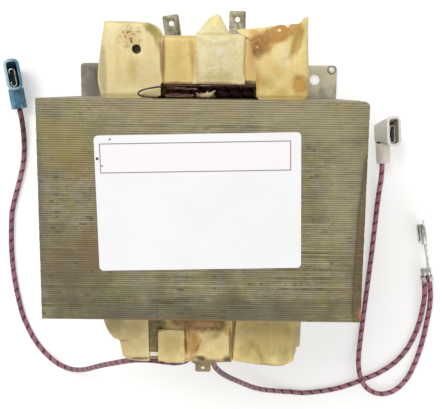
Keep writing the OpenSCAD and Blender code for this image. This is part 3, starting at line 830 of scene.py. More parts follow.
def wound(name, section):
    """A closed ring whose section follows points (out, z); out counts from the coils' inside."""
    clear_selection()
    bpy.ops.mesh.primitive_circle_add(vertices=len(section), radius=MM)
    piece = bpy.context.object
    piece.name = piece.data.name = name
    to_x, to_y = coil_in_x - coil_in_r, coil_in_y - coil_in_r
    for vertex, (out, z) in zip(piece.data.vertices, section):
        vertex.co = (coil_in_x + out, -to_y, z)
    edit(piece)
    for sx, sy, run in ((1, 1, (0, 2 * to_y, 0)), (-1, 1, (-2 * to_x, 0, 0)),
                        (-1, -1, (0, -2 * to_y, 0)), (1, -1, (2 * to_x, 0, 0))):
        bpy.ops.mesh.extrude_region_move(TRANSFORM_OT_translate={"value": run})
        bpy.ops.mesh.spin(steps=CORNER_STEPS, angle=math.radians(-90),
                          center=(sx * to_x, sy * to_y, 0), axis=(0, 0, 1))
    bpy.ops.mesh.select_all(action="SELECT")
    bpy.ops.mesh.remove_doubles(threshold=MERGE)
    bpy.ops.mesh.normals_make_consistent(inside=False)
    bpy.ops.object.mode_set(mode="OBJECT")
    return piece


def round_section(out, z, radius, count=10):
    angles = [2 * math.pi * i / count for i in range(count)]
    return [(out + radius * math.cos(a), z + radius * math.sin(a)) for a in angles]


# %% [markdown]
# The primary is a few layers of thick enamelled wire, and all of it that shows is real wire: the
# outer layer turn by turn, and the top and bottom turn of each layer beneath it. The turns of
# the outer layer are copies of one, each a little out of line. A plain core fills the inside.

# %% Primary coil
turns = 14
wire_d = (primary_high.z - primary_low.z) / turns
wire_r = 0.485 * wire_d      # the turns don't quite touch
layers = round(coil_build / wire_d)
layer_step = (coil_build - wire_d) / (layers - 1)
rng = random.Random(21)
first_turn = wound("turn", round_section(coil_build - wire_d / 2, primary_low.z + wire_d / 2,
                                         wire_r))
wires = []
for i in range(turns):
    out_of_line = rng.uniform(-0.05, 0.05) * MM
    wires.append(own_copy(first_turn, (out_of_line, rng.uniform(-0.05, 0.0) * MM, i * wire_d)))
bpy.data.objects.remove(first_turn)
for layer in range(layers - 1):
    out = wire_d / 2 + layer * layer_step
    for z in (primary_low.z + wire_d / 2, primary_high.z - wire_d / 2):
        wires.append(wound("layer", round_section(out, z - rng.uniform(0, 0.06) * MM, wire_r, 8)))
inner = wire_d * 0.6
wires.append(wound("filling", [(inner, primary_low.z + inner),
                               (coil_build - inner, primary_low.z + inner),
                               (coil_build - inner, primary_high.z - inner),
                               (inner, primary_high.z - inner)]))
primary = joined("primary_turns", wires)
smooth(primary, 60)
keep(primary, "primary_coil")

# %% [markdown]
# The secondary has some two thousand turns of fine wire with paper between the layers, all
# soaked in varnish. Its outer side is a wall of fine ribs, slightly barrelled, and its ends show
# the paper edges as thin ridges. One section with all those ribs and ridges is wound at once.

# %% Secondary coil
def ribbed_section():
    low, high = secondary_low.z, secondary_high.z
    rib, ridge = 0.55 * MM, 0.95 * MM
    ribbed = high - low - 2 * MM
    ribs = round(ribbed / rib)
    ridges = round((coil_build - 2 * MM) / ridge)
    points = []
    for i in range(2 * ribs + 1):
        z = low + MM + ribbed * i / (2 * ribs)
        belly = 0.45 * MM * math.sin(math.pi * (z - low) / (high - low))
        points.append((coil_build - 0.5 * MM + belly - (0.12 * MM if i % 2 else 0), z))
    for z_edge, way in ((high, 1), (low, -1)):
        ends = []
        for i in range(ridges):
            out = coil_build - MM - (coil_build - 1.2 * MM) * i / (ridges - 1)
            ends += [(out + 0.2 * MM, z_edge - way * 0.5 * MM), (out + 0.15 * MM, z_edge),
                     (out, z_edge), (out - 0.05 * MM, z_edge - way * 0.5 * MM)]
        points += ends if way > 0 else list(reversed(ends))
    return points


secondary = wound("secondary_layers", ribbed_section())
smooth(secondary, 50)
keep(secondary, "secondary_coil")

# %% [markdown]
# Each coil was wound on a former, a thin paper tube that fits the leg. It stands a hair above
# the wire, so its rim shows as a thin line inside the coil.

# %% Paper formers
def former(coil_name):
    low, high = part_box(coil_name + "_former")
    outside, inside = -fit_gap, -fit_gap - paper_t
    piece = wound(coil_name + "_tube", [(outside, low.z), (outside, high.z), (inside, high.z),
                                        (inside, low.z)])
    break_edges(piece, 0.08 * MM)
    smooth(piece)
    return keep(piece, coil_name + "_former")


formers = [former("primary"), former("secondary")]

# %% [markdown]
# ## Window papers
#
# Each half of a coil lies in a channel of stiff insulating paper that keeps it off the iron. It
# is one sheet: it starts over the coil, folds down its outer side, and folds back under it. At
# both ends it sticks out of the window, and there it is uneven, stained and curled. A folded box
# of flat plates would not curl, so a flat grid is put on the folded shape point by point, each
# point with its own reach and lift, and then gets the paper's thickness.

# %% Paper from a grid
FOLD_R = 1.4 * MM


def turn_outwards(piece):
    """Recalculates the normals, so that they agree and point outwards."""
    edit(piece)
    bpy.ops.mesh.normals_make_consistent(inside=False)
    bpy.ops.object.mode_set(mode="OBJECT")


def paper_grid(name, columns, rows, place, thickness):
    """A sheet whose points lie where place(u, v) says, u across and v along, both 0 to 1."""
    clear_selection()
    bpy.ops.mesh.primitive_grid_add(x_subdivisions=columns, y_subdivisions=rows, size=1)
    piece = bpy.context.object
    piece.name = piece.data.name = name
    for vertex in piece.data.vertices:
        vertex.co = place(vertex.co.x + 0.5, vertex.co.y + 0.5)
    turn_outwards(piece)
    finish_with(piece, "SOLIDIFY", thickness=thickness, offset=0, use_even_offset=True)
    turn_outwards(piece)
    smooth(piece, 60)
    return piece


def on_section(share, x_in, x_out, z_high, z_low, r):
    """Point (x, z) at a share of the way round a C: out over the top, down, back below."""
    flat, curve, wall = x_out - r - x_in, math.pi / 2 * r, z_high - z_low - 2 * r
    way = share * (2 * flat + 2 * curve + wall)
    if way < flat:
        return x_in + way, z_high
    way -= flat
    if way < curve:
        return x_out - r + r * math.sin(way / r), z_high - r + r * math.cos(way / r)
    way -= curve
    if way < wall:
        return x_out, z_high - r - way
    way -= wall
    if way < curve:
        return x_out - r + r * math.cos(way / r), z_low + r - r * math.sin(way / r)
    return x_out - r - (way - curve), z_low


# %% [markdown]
# Trimmed edges are broken lines, and folds, rolls and lumps begin and end softly. Two small
# functions describe both.

# %% Broken lines and soft steps
def between(points, at):
    """Value at a place on a broken line of (place, value) points, held at both ends."""
    for (a, value_a), (b, value_b) in zip(points, points[1:]):
        if at < b:
            t = max(0.0, (at - a) / (b - a))
            return value_a + (value_b - value_a) * t
    return points[-1][1]


def ease(at, start, end):
    """0 before start, 1 after end, and a smooth rise between them."""
    t = max(0.0, min(1.0, (at - start) / (end - start)))
    return t * t * (3 - 2 * t)


# %% [markdown]
# An end of a paper is described in millimetres, as one would trim it with scissors: its inner
# edge and its outer fold at each distance from the middle, and how far the tip reaches at each
# place across. A lift function adds curls and waves. In all of them x and y count outwards from
# the middle of the core, on the left and at the front too.

# %% Window paper
UNDER_REACH = 54.0   # the fold under the coil is cut shorter, in mm
OVER_COIL = 0.5      # gap between the coil and the middle of the paper, in mm
MIDDLE_ROWS = 0.12   # share of the grid's rows that lie in the window, where nothing shows


def window_paper(coil_name, side_name, ends, rise):
    """ends are (inner edge, outer fold, tip, wall reach, lift), for the back and the front."""
    side = 1 if side_name == "right" else -1
    coil_low, coil_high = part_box(coil_name + "_coil")
    z_high = coil_high.z / MM + OVER_COIL
    z_low = coil_low.z / MM - OVER_COIL
    x_narrow = coil_in_x / MM + 0.2
    x_wide = coil_out_x / MM + OVER_COIL
    face = stack_half / MM + 0.35
    r = FOLD_R / MM

    def place(u, v):
        back = v > 0.5
        inner, outer, tip, wall_reach, lift = ends[0 if back else 1]
        along = abs(2 * v - 1)
        last = tip[-1][1]
        x_tip, _ = on_section(u, between(inner, last), between(outer, last), z_high, z_low, r)
        section_z = on_section(u, between(inner, face), x_wide, z_high, z_low, r)[1]
        under = 1 - ease(section_z, z_low + 0.1, z_low + 7)
        reach = wall_reach + (UNDER_REACH - wall_reach) * under
        if section_z > z_high - r:
            reach = between(tip, x_tip)
        if along < MIDDLE_ROWS:
            y = face * along / MIDDLE_ROWS
        else:
            y = face + (reach - face) * (along - MIDDLE_ROWS) / (1 - MIDDLE_ROWS)
        outside = y > face
        x_in = between(inner, y) if outside else x_narrow
        x_out = between(outer, y) if outside else x_wide
        top = z_high + (rise * ease(y, face, face + 1.2) if outside else 0)
        x, z = on_section(u, x_in, x_out, top, z_low, r)
        if outside:
            free = ease(y, face, face + 6)
            dx, dz = lift(x, y, ease(z, z_high - 6, z_high))
            x += dx + free * ripple(y, z, 3 * side, 9, 0.22) * (1 - ease(z, top - 1, top))
            z += dz + free * ripple(x, y, 5 * side, 11, 0.28) * ease(z, top - 1.5, top)
        return side * x * MM, (y if back else -y) * MM, z * MM

    piece = paper_grid(coil_name + "_paper_" + side_name, 66, 120, place, 0.36 * MM)
    return keep(piece, coil_name + "_liner_" + side_name)


# %% [markdown]
# The four ends of the secondary's papers all differ. At the back the left one has its hole and
# the right one a raised corner; at the front the left one is torn and the right one puffed up.

# %% Lift the ends of the papers
HOLE = (-22.7, 52.2)   # the small hole near the back of the left paper, in mm


def tip_roll(y, start, reach, depth):
    """How far a tip that starts to roll at start has sunk at y."""
    t = max(0.0, (y - start) / (reach - start))
    return -depth * t * t


def back_left_lift(x, y, top):
    """Its tip rolls down a little, most of all at the inner corner."""
    corner = math.hypot(x - 14, y - 60)
    sink = tip_roll(y, 57.5, 61.2, 0.5) - 1.8 * ease(-corner, -6, 0)
    dimple = -0.35 * ease(-math.hypot(x + HOLE[0], y - HOLE[1]), -3.4, -1.2)
    crown = 0.5 * ease(y, 42, 50) * ease(x, 15, 20) * (1 - ease(x, 28, 34))
    return 0.0, (sink + dimple + crown) * top


def back_right_lift(x, y, top):
    """The outer corner stands up, with a valley beside it; the varnished tip has sunk."""
    raised = 4.0 * ease(x, 30.5, 35.5) * ease(y, 54, 62)
    off_valley = x - 29.3 - (y - 50.2) * 0.34
    valley = -1.0 * math.exp(-(off_valley / 1.3) ** 2) * ease(y, 47, 51)
    tip = tip_roll(y, 56, 60, 0.6) * (1 - ease(x, 29, 31))
    puff = 0.8 * math.exp(-((x - 24) / 4.5) ** 2 - ((y - 50) / 5) ** 2)
    return -0.5 * ease(y, 54, 62) * top * ease(x, 30, 34), (raised + valley + tip + puff) * top


def front_left_lift(x, y, top):
    """Torn off at the outer side, and turned down along its tip."""
    sink = tip_roll(y, 53.8, 57.4, 1.9) + tip_roll(x, 27.5, 36, 1.2) * ease(y, 42, 46)
    return 0.0, sink * top


def front_right_lift(x, y, top):
    """Puffed up in the middle, and turned down at its tip and outer corner."""
    sink = tip_roll(y, 54.5, 58.7, 1.1) + tip_roll(x, 30, 36, 0.8) * ease(y, 48, 54)
    crown = 0.6 * ease(y, 42, 48) * ease(x, 13, 18) * (1 - ease(x, 26, 33))
    return 0.0, (sink + crown) * top


# %% [markdown]
# With the lifts made, each end gets the lines along which it was trimmed or torn.

# %% Trim the papers of the secondary
back_left_end = (
    [(36.4, 18.7), (36.9, 14.7), (40.8, 14.7), (41.4, 14)],
    [(36.4, 34.8), (39, 35.2), (41.5, 35.7), (44.5, 35.9), (48, 35.5), (52, 34.7), (61.2, 33.5)],
    [(14, 57.4), (14.9, 58.8), (16.2, 59.9), (18.1, 60.7), (24, 61.1), (33.6, 61.2)],
    61.2, back_left_lift)
back_right_end = (
    [(36.4, 18.7), (36.9, 17.6), (47.6, 17.2), (54, 15.4), (56.2, 14.6), (57.3, 12.2),
     (58.6, 10.6)],
    [(36.4, 35), (49, 34.8), (62, 34.4)],
    [(10.6, 58.8), (13, 59.3), (14.5, 59.0), (18, 59.6), (20, 59.5), (21.5, 60.2), (23, 60),
     (25, 60.7), (27, 60.3), (29, 61), (31.2, 61), (33, 62.3), (34.4, 62.9)],
    62.9, back_right_lift)
front_left_end = (
    [(36.4, 19.4), (57.2, 19)],
    [(36.4, 35)],
    [(19, 57.8), (22, 58), (26.2, 57.3), (27.8, 56.2), (28.8, 54.6), (28.9, 50.1), (29.6, 49.2),
     (31.6, 48.7), (33.3, 46.6), (34.9, 43)],
    43, front_left_lift)
front_right_end = (
    [(36.4, 18.7), (38, 12.2), (57, 10.9)],
    [(36.4, 34.8)],
    [(10.9, 56.7), (16.2, 57.3), (22, 58), (26.6, 58.5), (29.5, 58.3), (31.2, 57.3), (32.5, 56.6),
     (33, 54.4), (33.8, 53.2), (34.2, 52), (34.8, 51.1)],
    51.2, front_right_lift)

RISE = 0.7   # the papers of the secondary rise over its wraps and tapes, in mm
left_liner = window_paper("secondary", "left", (back_left_end, front_left_end), RISE)
right_liner = window_paper("secondary", "right", (back_right_end, front_right_end), RISE)

# %% [markdown]
# The papers of the primary lie deep in the shade, so their four ends are alike: trimmed straight,
# and drooping a little.

# %% Papers of the primary
def droop(x, y, top):
    return 0.0, tip_roll(y, 50, 58, 0.8) * top


def primary_end(reach):
    return ([(36.4, 18.7), (41.5, 20)], [(36.4, 34.6), (58, 35.3)],
            [(20, reach), (27, reach + 0.6), (34.9, reach)], reach, droop)


primary_ends = (primary_end(57.6), primary_end(57.2))
primary_papers = [window_paper("primary", side_name, primary_ends, 0)
                  for side_name in ("left", "right")]

# %% [markdown]
# The left paper has a small round hole near its back edge. A cylinder is the cutter, as a punch
# would be, and its own rim keeps the paper's thickness visible.

# %% Punch the hole
clear_selection()
bpy.ops.mesh.primitive_cylinder_add(
    vertices=24, radius=1.35 * MM, depth=6 * MM,
    location=(HOLE[0] * MM, HOLE[1] * MM, secondary_high.z + MM))
cutter = bpy.context.object
finish_with(left_liner, "BOOLEAN", operation="DIFFERENCE", object=cutter, solver="EXACT")
bpy.data.objects.remove(cutter)
smooth(left_liner, 60)
print("the punched paper has", len(left_liner.data.polygons), "faces")

# %% [markdown]
# ## Wraps and tapes
#
# Across each end of a coil lies a band of golden paper, and over it a strip of cream crepe tape.
# A band comes out from under the stack, over the coil's end, down its face and back below. It
# too is a grid, folded round with soft corners; crepe wrinkles and pulls are moves of its points.

# %% A band round the end of a coil
def band(name, coil_name, side, edges, clear, thickness, shape, columns, rows):
    """edges are (left, right), or a function that gives them at a share of the way along.
    clear is the gap to the coil, and shape(x, y, z) moves a point out and up, in mm."""
    coil_low, coil_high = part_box(coil_name + "_coil")
    lift = (clear + thickness / 2) / MM
    y_in, y_out = coil_in_y / MM, coil_out_y / MM + lift
    z_high, z_low = coil_high.z / MM + lift, coil_low.z / MM - lift

    def place(u, v):
        y, z = on_section(v, y_in, y_out, z_high, z_low, FOLD_R / MM)
        left, right = edges(v) if callable(edges) else edges
        x = left + (right - left) * u
        out, up = shape(x, y, z)
        return x * MM, side * (y + out) * MM, (z + up) * MM

    return paper_grid(name, columns, rows, place, thickness)


def slack(seed, size, depth):
    """Waves of loosely laid paper: it may rise off what lies below, and never sinks into it."""
    def shape(x, y, z):
        wave = abs(ripple(x, y + z, seed, size, depth))
        top = ease(z, secondary_high.z / MM - 2, secondary_high.z / MM)
        return wave * (1 - top), wave * top
    return shape


wrap_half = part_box("secondary_wrap_back")[1].x / MM
wraps = []
for end_name, side, edges in (("back", 1, (-wrap_half, 18.4)), ("front", -1, (-19.4, wrap_half))):
    wrap = band("golden_wrap_" + end_name, "secondary", side, edges, 0.1 * MM, 0.36 * MM,
                slack(side, 7, 0.08), 56, 84)
    wraps.append(keep(wrap, "secondary_wrap_" + end_name))

# %% [markdown]
# Between the coil and the core, torn scraps of the same paper have stayed behind. Each is a
# small grid with an uneven outline that leans over the gap. Deep in the gap, a dark folded strip
# at each end closes the space between the leg and the primary. It stands in for the shade down
# there, so that the table doesn't show through.

# %% Scraps and strips in the gaps
def scrap(x_from, x_to, y_from, depth, z, seed):
    """A scrap that hangs from y_from, with a torn far edge."""
    def place(u, v):
        x = x_from + (x_to - x_from) * u + ripple(7 * u, 5 * v, seed, 2.0, 0.4)
        torn = 0.75 + 0.35 * math.sin(2.4 * u + seed) + ripple(9 * u, seed, 0, 1.0, 0.2)
        y = y_from + depth * torn * v
        rise = z + 0.5 * v + ripple(4 * u, 2 * v, seed, 1.5, 0.4)
        return x * MM, y * MM, secondary_high.z + rise * MM
    return paper_grid("scrap", 24, 8, place, 0.3 * MM)


def shade_closing_strip(side):
    def place(u, v):
        y = stack_half / MM * (1 - v) + (coil_in_y / MM - 0.1) * v
        half = 18.6 + 1.1 * v
        sag = 0.5 * math.sin(math.pi * v) + ripple(16 * u, 4 * v, side, 5, 0.15)
        return half * (2 * u - 1) * MM, side * y * MM, primary_low.z + (2 - sag) * MM
    return paper_grid("shade_closing_strip", 30, 8, place, 0.4 * MM)


formers[0] = joined("primary_tube", [formers[0], shade_closing_strip(1), shade_closing_strip(-1)])
formers[1] = joined("secondary_tube", [
    formers[1], scrap(-2.8, 3.6, 36.6, 2.9, -1.6, 4), scrap(-13.2, -3.6, 36.6, 0.9, -0.9, 7),
    scrap(-12.9, -2.6, 39.1, 1.0, -0.7, 9)])
print("in the gaps:", [piece.name for piece in formers])

# %% [markdown]
# The tape at the back covers a splice of the winding: a lump that stands out of its face like a
# small tent. Its sides are the same tape, so the lump is a smooth rise of the band itself.

# %% Tape at the back of the secondary
top_mm = secondary_high.z / MM
tape_gap = 0.6 * MM
lump_height = (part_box("secondary_tape_back")[1].y - coil_out_y) / MM - 0.4


def crepe(x, y, z, seed, depth):
    """Fine cross wrinkles, stronger in some places than in others."""
    patch = 0.5 + 0.5 * noise.noise(Vector((x / 5, (y + z) / 5, seed)))
    return depth * patch * (noise.noise(Vector((x / 1.6, (y - z) / 0.5, seed))) + 0.5)


def back_tape_shape(x, y, z):
    """The lump on the face, a fold and a padded patch on the top, and the wrinkles."""
    across = ease(x, -3.4, 2.6) * (1 - ease(x, 4.4, 8.9))
    across += 0.16 * math.exp(-((x - 4.2) / 1.1) ** 2)
    level = ease(z, top_mm - 12, top_mm - 7.5)
    face = ease(y, 56.2, 57.4)
    out = lump_height * across * level * face
    top = ease(z, top_mm - 1, top_mm)
    fold = 0.3 * math.exp(-((y - 54.6 - 0.05 * (x - 4) ** 2) / 0.8) ** 2) * top
    pad = 0.25 * ease(x, -1, 1.5) * (1 - ease(x, 8, 11)) * ease(y, 43, 46) * top
    wrinkle = crepe(x, y, z, 3, 0.22)
    return out + wrinkle * (1 - top), fold + pad + wrinkle * top


def back_tape_edges(share):
    """Its left edge slants a little, and its right edge waves."""
    left = between([(0, -3.9), (0.3, -2.7), (0.5, -2.8), (1, -4)], share)
    right = between([(0, 13.6), (0.15, 13.3), (0.3, 13.5), (1, 13.4)], share)
    return left + 0.15 * math.sin(30 * share), right + 0.1 * math.sin(37 * share)


back_tape = band("crepe_tape_back", "secondary", 1, back_tape_edges, tape_gap, 0.45 * MM,
                 back_tape_shape, 64, 120)
keep(back_tape, "secondary_tape_back")

# %% [markdown]
# At the front, two strips overlap. The lower one is dark with varnish and folded on a slant, and
# a short pale strip lies over its left part.

# %% Tapes at the front of the secondary
def front_tape_shape(x, y, z):
    top = ease(z, top_mm - 1, top_mm)
    fold = 0.45 * math.exp(-((x + 4.2 + 0.12 * (y - 42)) / 0.9) ** 2) * ease(y, 42, 45)
    slant = 0.4 * ease(x - 0.55 * (56 - y), -3.2, -2.2) * ease(y, 44, 46)
    pad = 0.35 * ease(x, -1, 1) * (1 - ease(x, 7.5, 9)) * ease(y, 44.5, 45.5)
    wrinkle = crepe(x, y, z, 8, 0.2)
    return wrinkle * (1 - top) + 0.1, (fold + slant + pad + wrinkle) * top


def pale_strip_shape(x, y, z):
    top = ease(z, top_mm - 1, top_mm + 0.4)
    wrinkle = crepe(x, y, z, 12, 0.18)
    inset = 0.5 * (1 - ease(x, -14.6, -12))
    return 0.1 - inset + wrinkle * (1 - top), (0.15 + wrinkle) * top


def front_tape_edges(share):
    return -11.6 + 0.5 * math.sin(9 * share), 10.4 + 0.15 * math.sin(25 * share)


lower_strip = band("lower_strip", "secondary", -1, front_tape_edges, tape_gap, 0.42 * MM,
                   front_tape_shape, 70, 100)
pale_strip = band("pale_strip", "secondary", -1, (-15.7, -6.4), tape_gap + 0.45 * MM, 0.4 * MM,
                  pale_strip_shape, 34, 100)
edit(pale_strip)
bpy.ops.mesh.bisect(plane_co=(0, -45.5 * MM, 0), plane_no=(0.03, 1, 0), clear_outer=True,
                    use_fill=True)
front_tape = joined("crepe_tape_front", [lower_strip, pale_strip])
keep(front_tape, "secondary_tape_front")

# %% [markdown]
# The tapes of the primary are plain bands. At the back, the two tabs come out through slots in
# the tape, with a little torn lip round each.

# %% Tapes of the primary
TAB_CENTRES = (-13, 11.4)


def primary_tape_shape(x, y, z):
    wrinkle = crepe(x, y, z, 17, 0.2)
    top = ease(z, primary_high.z / MM - 1, primary_high.z / MM)
    bottom = 1 - ease(z, primary_low.z / MM, primary_low.z / MM + 1)
    face = 1 - max(top, bottom)
    tabs = sum(ease(-abs(x - centre), -4.6, -3) * ease(-abs(z - 30.9), -7.4, -5.6)
               for centre in TAB_CENTRES) * ease(y, 55, 57)
    return face * (wrinkle + 0.9 * tabs), (top - bottom) * abs(wrinkle)


primary_tapes = []
for end_name, side, shape in (("back", 1, primary_tape_shape), ("front", -1, slack(33, 6, 0.15))):
    tape = band("primary_band_" + end_name, "primary", side, (-wrap_half, wrap_half), 0.1 * MM,
                0.5 * MM, shape, 72, 100)
    primary_tapes.append(keep(tape, "primary_tape_" + end_name))

# %% [markdown]
# ## Terminals and small parts
#
# The tabs and receptacles are stamped from thin tinned sheet. Their solids already have the
# right bends and holes, and what a stamping adds is the soft edge. Each is a merged copy of its
# solid with a small bevel.

# %% Tabs
tabs = [keep(worked_copy(node_name + "_blade", node_name, 0.12 * MM), node_name)
        for node_name in ("primary_tab_left", "primary_tab_right", "hv_tab")]

# %% [markdown]
# The secondary's earth end is one thin varnished wire. It comes up beside the former, makes a
# flat loop over the paper and ends in a spot of weld on the core. A tube along a smooth line
# gives the wire, and a squashed ball with a dished top gives the spot.

# %% Earth wire
earth_d = 0.6 * MM
up_x = -leg_half / MM + 3.5
up_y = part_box("ground_wire")[1].y / MM - 0.3
loop_z = joint_z / MM + 2.5
earth_route = [
    (up_x, up_y, secondary_high.z / MM - 2), (up_x, up_y, secondary_high.z / MM),
    (up_x, up_y + 0.05, loop_z - 1.2), (up_x - 0.5, up_y, loop_z - 0.25),
    (up_x - 1.6, up_y - 0.1, loop_z + 0.05), (-18.2, up_y - 0.55, loop_z + 0.2),
    (-20.4, up_y - 1.1, loop_z + 0.1), (-21.7, up_y - 1.75, loop_z), (-22, up_y - 2.3, loop_z),
    (-21.5, up_y - 2.9, loop_z), (-20, up_y - 3.25, loop_z), (-18, up_y - 3.4, loop_z),
    (up_x - 2, up_y - 3.4, loop_z),
]
earth_wire = tube("earth_wire", smooth_line(earth_route, 0.25 * MM), earth_d, sides=14)
spot = dished_ball(((up_x - 2.2) * MM, stack_half + 0.36 * MM, loop_z * MM), 1.15 * MM,
                   (1, 0.42, 0.9), Vector((0, 1, 0)), 0.93, 0.08 * MM, (20, 12), 60)
earth = joined("earth_wire", [earth_wire, spot])
keep(earth, "ground_wire")

# %% [markdown]
# ## Label
#
# The label is a rectangle of paper with rounded corners, a little askew. It is stuck down, but
# its border has lifted by less than its own thickness, and that is what gives it a shadow line.

# %% Label
label_low, label_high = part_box("label")
label_centre = (label_low + label_high) / 2
label_turn = math.radians(1.6)
label_x, label_y = 32.75 * MM, 21.95 * MM     # half of its length and of its width
flat_x, flat_y = 30, 19.5     # the border begins here, in mm from the middle


def label_frame(x, y):
    """A point of the label, given from its middle and along its own sides."""
    c, s = math.cos(label_turn), math.sin(label_turn)
    return label_centre.x + c * x - s * y, label_centre.y + s * x + c * y


label = block("label_paper", (-label_x, -label_y, 0), (label_x, label_y, 0.09 * MM))
edit(label)
pick(label, "EDGE", lambda way, middle: abs(way.z) > 0.9)
bpy.ops.mesh.bevel(offset=1.4 * MM, segments=6)
cut_across(0, [x * MM for x in (-flat_x, -24, -12, 0, 12, 24, flat_x)])
cut_across(1, [y * MM for y in (-flat_y, -14, -5, 5, 14, flat_y)])
bpy.ops.object.mode_set(mode="OBJECT")
for vertex in label.data.vertices:
    x, y, z = vertex.co
    over_border = max(abs(x) - flat_x * MM, abs(y) - flat_y * MM, 0)
    lift = 0.06 * MM * min(1, over_border / (2 * MM))
    lift *= 0.6 + noise.noise(Vector((x, y, 0)) * 90)
    vertex.co = (*label_frame(x, y), label_low.z + z + max(0, lift))
break_edges(label, 0.03 * MM, angle_limit=math.radians(50))
smooth(label, 35)
keep(label, "label")

# %% [markdown]
# ## Receptacles
#
# Two flag receptacles hide in moulded nylon sleeves, and a third, straight one is bare. Nylon
# has softer edges than sheet metal, so its bevels are wider. Inside a sleeve the shade is painted
# in: each face that looks at another wall of its own sleeve is marked, and its finish is dark there.

# %% Sleeves, receptacles and the bare terminal
RECEPTACLES = ("blue_receptacle", "white_receptacle", "bare_terminal")
slots = {"blue_sleeve": "blue_nylon", "white_sleeve": "white_nylon"}
fittings = {}
for node_name in (*slots, *RECEPTACLES):
    edge = 0.3 * MM if node_name in slots else 0.08 * MM
    fittings[node_name] = keep(worked_copy(node_name + "_shell", node_name, edge),
                               node_name)


# marks each face that looks at another wall of its sleeve, where the finish paints shade
def mark_shaded_inside(sleeve):
    mesh = sleeve.data
    inside = mesh.attributes.new("inside", "FLOAT", "FACE")
    for polygon in mesh.polygons:
        start = polygon.center + polygon.normal * 0.02 * MM
        sees_wall = sleeve.ray_cast(start, polygon.normal, distance=9 * MM)[0]
        inside.data[polygon.index].value = 1.0 if sees_wall else 0.0
    print(sleeve.name, "has", sum(int(d.value) for d in inside.data), "faces inside")


bpy.context.view_layer.update()
mark_shaded_inside(fittings["blue_sleeve"])
mark_shaded_inside(fittings["white_sleeve"])

# %% [markdown]
# With their fittings made, each lead's start and length are worked out, and what sits on its
# end is printed.

for node_name, (lead, line, on_it) in leads.items():
    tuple(line[0])
    length_of(line)
    print(lead.name, "ends in", on_it)

# %% [markdown]
# # Finishes
#
# A finish is a small tree of nodes that ends in one shader. All patterns are computed from the
# place on the piece, in millimetres, so they need no image and keep their real scale. It begins
# with one or two tones, and further tones are laid over them, each through a mask, as glazes are.
# `Finish` keeps the colour reached so far, so that each glaze takes one line.

# %% A finish
def paint(red, green, blue):
    """A colour as a paint chart gives it, 0 to 255, made linear for a shader."""
    def linear(c):
        c /= 255
        return c / 12.92 if c <= 0.04045 else ((c + 0.055) / 1.055) ** 2.4
    return (linear(red), linear(green), linear(blue), 1.0)


class Finish(Tree):
    """A new material with its shader, and the colour that its glazes have reached so far."""

    def __init__(self, name, roughness, metallic=0.0, coat=0.0, **constants):
        """The constants are set on the shader's own sockets; _ stands for a space."""
        self.material = bpy.data.materials.new(name)
        super().__init__(empty_tree(self.material))
        values = {key.replace("_", " "): value for key, value in constants.items()}
        self.shader = self.node("ShaderNodeBsdfPrincipled", {
            "Roughness": roughness, "Metallic": metallic, "Coat Weight": coat, **values})
        self.node("ShaderNodeOutputMaterial", {"Surface": self.shader.outputs[0]})
        self.colour = None

    def cloud(self, size, seed, low, high):
        """Mask of cloudy patches of this size; from low to high is their soft edge."""
        return self.use(patches, Size=size, Seed=seed, From=low, To=high)

    def start(self, low, high, mask):
        """The first colour: tone low where the mask is 0, and high where it is 1."""
        self.colour = self.mix(paint(*low), paint(*high), mask)

    def lay(self, tone, mask, share=1.0):
        """Lays a tone, or a colour of other nodes, where the mask is 1, and by this share."""
        tone = paint(*tone) if isinstance(tone, tuple) else tone
        self.colour = self.mix(self.colour, tone, self.math("MULTIPLY", mask, share))

    def lay_stains(self, ragged, soft, spots):
        """Lays stains that are given as (centre, radii, tone, share)."""
        for centre, radii, tone, share in spots:
            mask = self.use(stain, Centre=centre, Radii=radii, Ragged=ragged, Soft=soft)
            self.lay(tone, mask, share)

    def link(self, socket_name, value):
        self.tree.links.new(value, self.shader.inputs[socket_name])

    def raise_by(self, depth, height):
        """Bumps the surface by depth millimetres where the height is 1."""
        made = self.node("ShaderNodeBump", {"Height": height, "Distance": depth * MM,
                                            "Strength": 1.0})
        self.link("Normal", made.outputs[0])

    def put_on(self, *pieces):
        self.link("Base Color", self.colour)
        for piece in pieces:
            piece.data.materials.clear()
            piece.data.materials.append(self.material)
        print(self.material.name, "is on", len(pieces), "pieces")


# %% [markdown]
# ## Effects that several finishes share
#
# Cloudy patches vary any colour slowly. A stain is a ragged spot at a given place, with a darker
# rim where the varnish dried. Both only give masks, and each finish mixes its own colours.

# %% Cloudy patches and stains
class Group(Tree):
    """A node group: its named inputs are in given, and give fills its named outputs."""

    def __init__(self, name, inputs, outputs):
        tree = bpy.data.node_groups.new(name, "ShaderNodeTree")
        super().__init__(tree)
        for key, default in inputs.items():
            kind = "NodeSocketVector" if isinstance(default, tuple) else "NodeSocketFloat"
            socket = tree.interface.new_socket(key, in_out="INPUT", socket_type=kind)
            socket.default_value = default
        for key in outputs:
            tree.interface.new_socket(key, in_out="OUTPUT", socket_type="NodeSocketFloat")
        self.given = tree.nodes.new("NodeGroupInput").outputs
        self.result = tree.nodes.new("NodeGroupOutput").inputs

    def give(self, **values):
        for key, value in values.items():
            self.tree.links.new(value, self.result[key])
        print("group", self.tree.name, "gives", *values)


patches = Group("cloudy patches", {"Size": 10.0, "Seed": 0.0, "From": 0.4, "To": 0.6}, ["Mask"])
cloud = patches.noise(patches.place(), patches.math("DIVIDE", 1.0, patches.given["Size"]),
                      detail=4.0, seed=patches.given["Seed"], rough=0.6)
patches.give(Mask=patches.spread(cloud, patches.given["From"], patches.given["To"]))

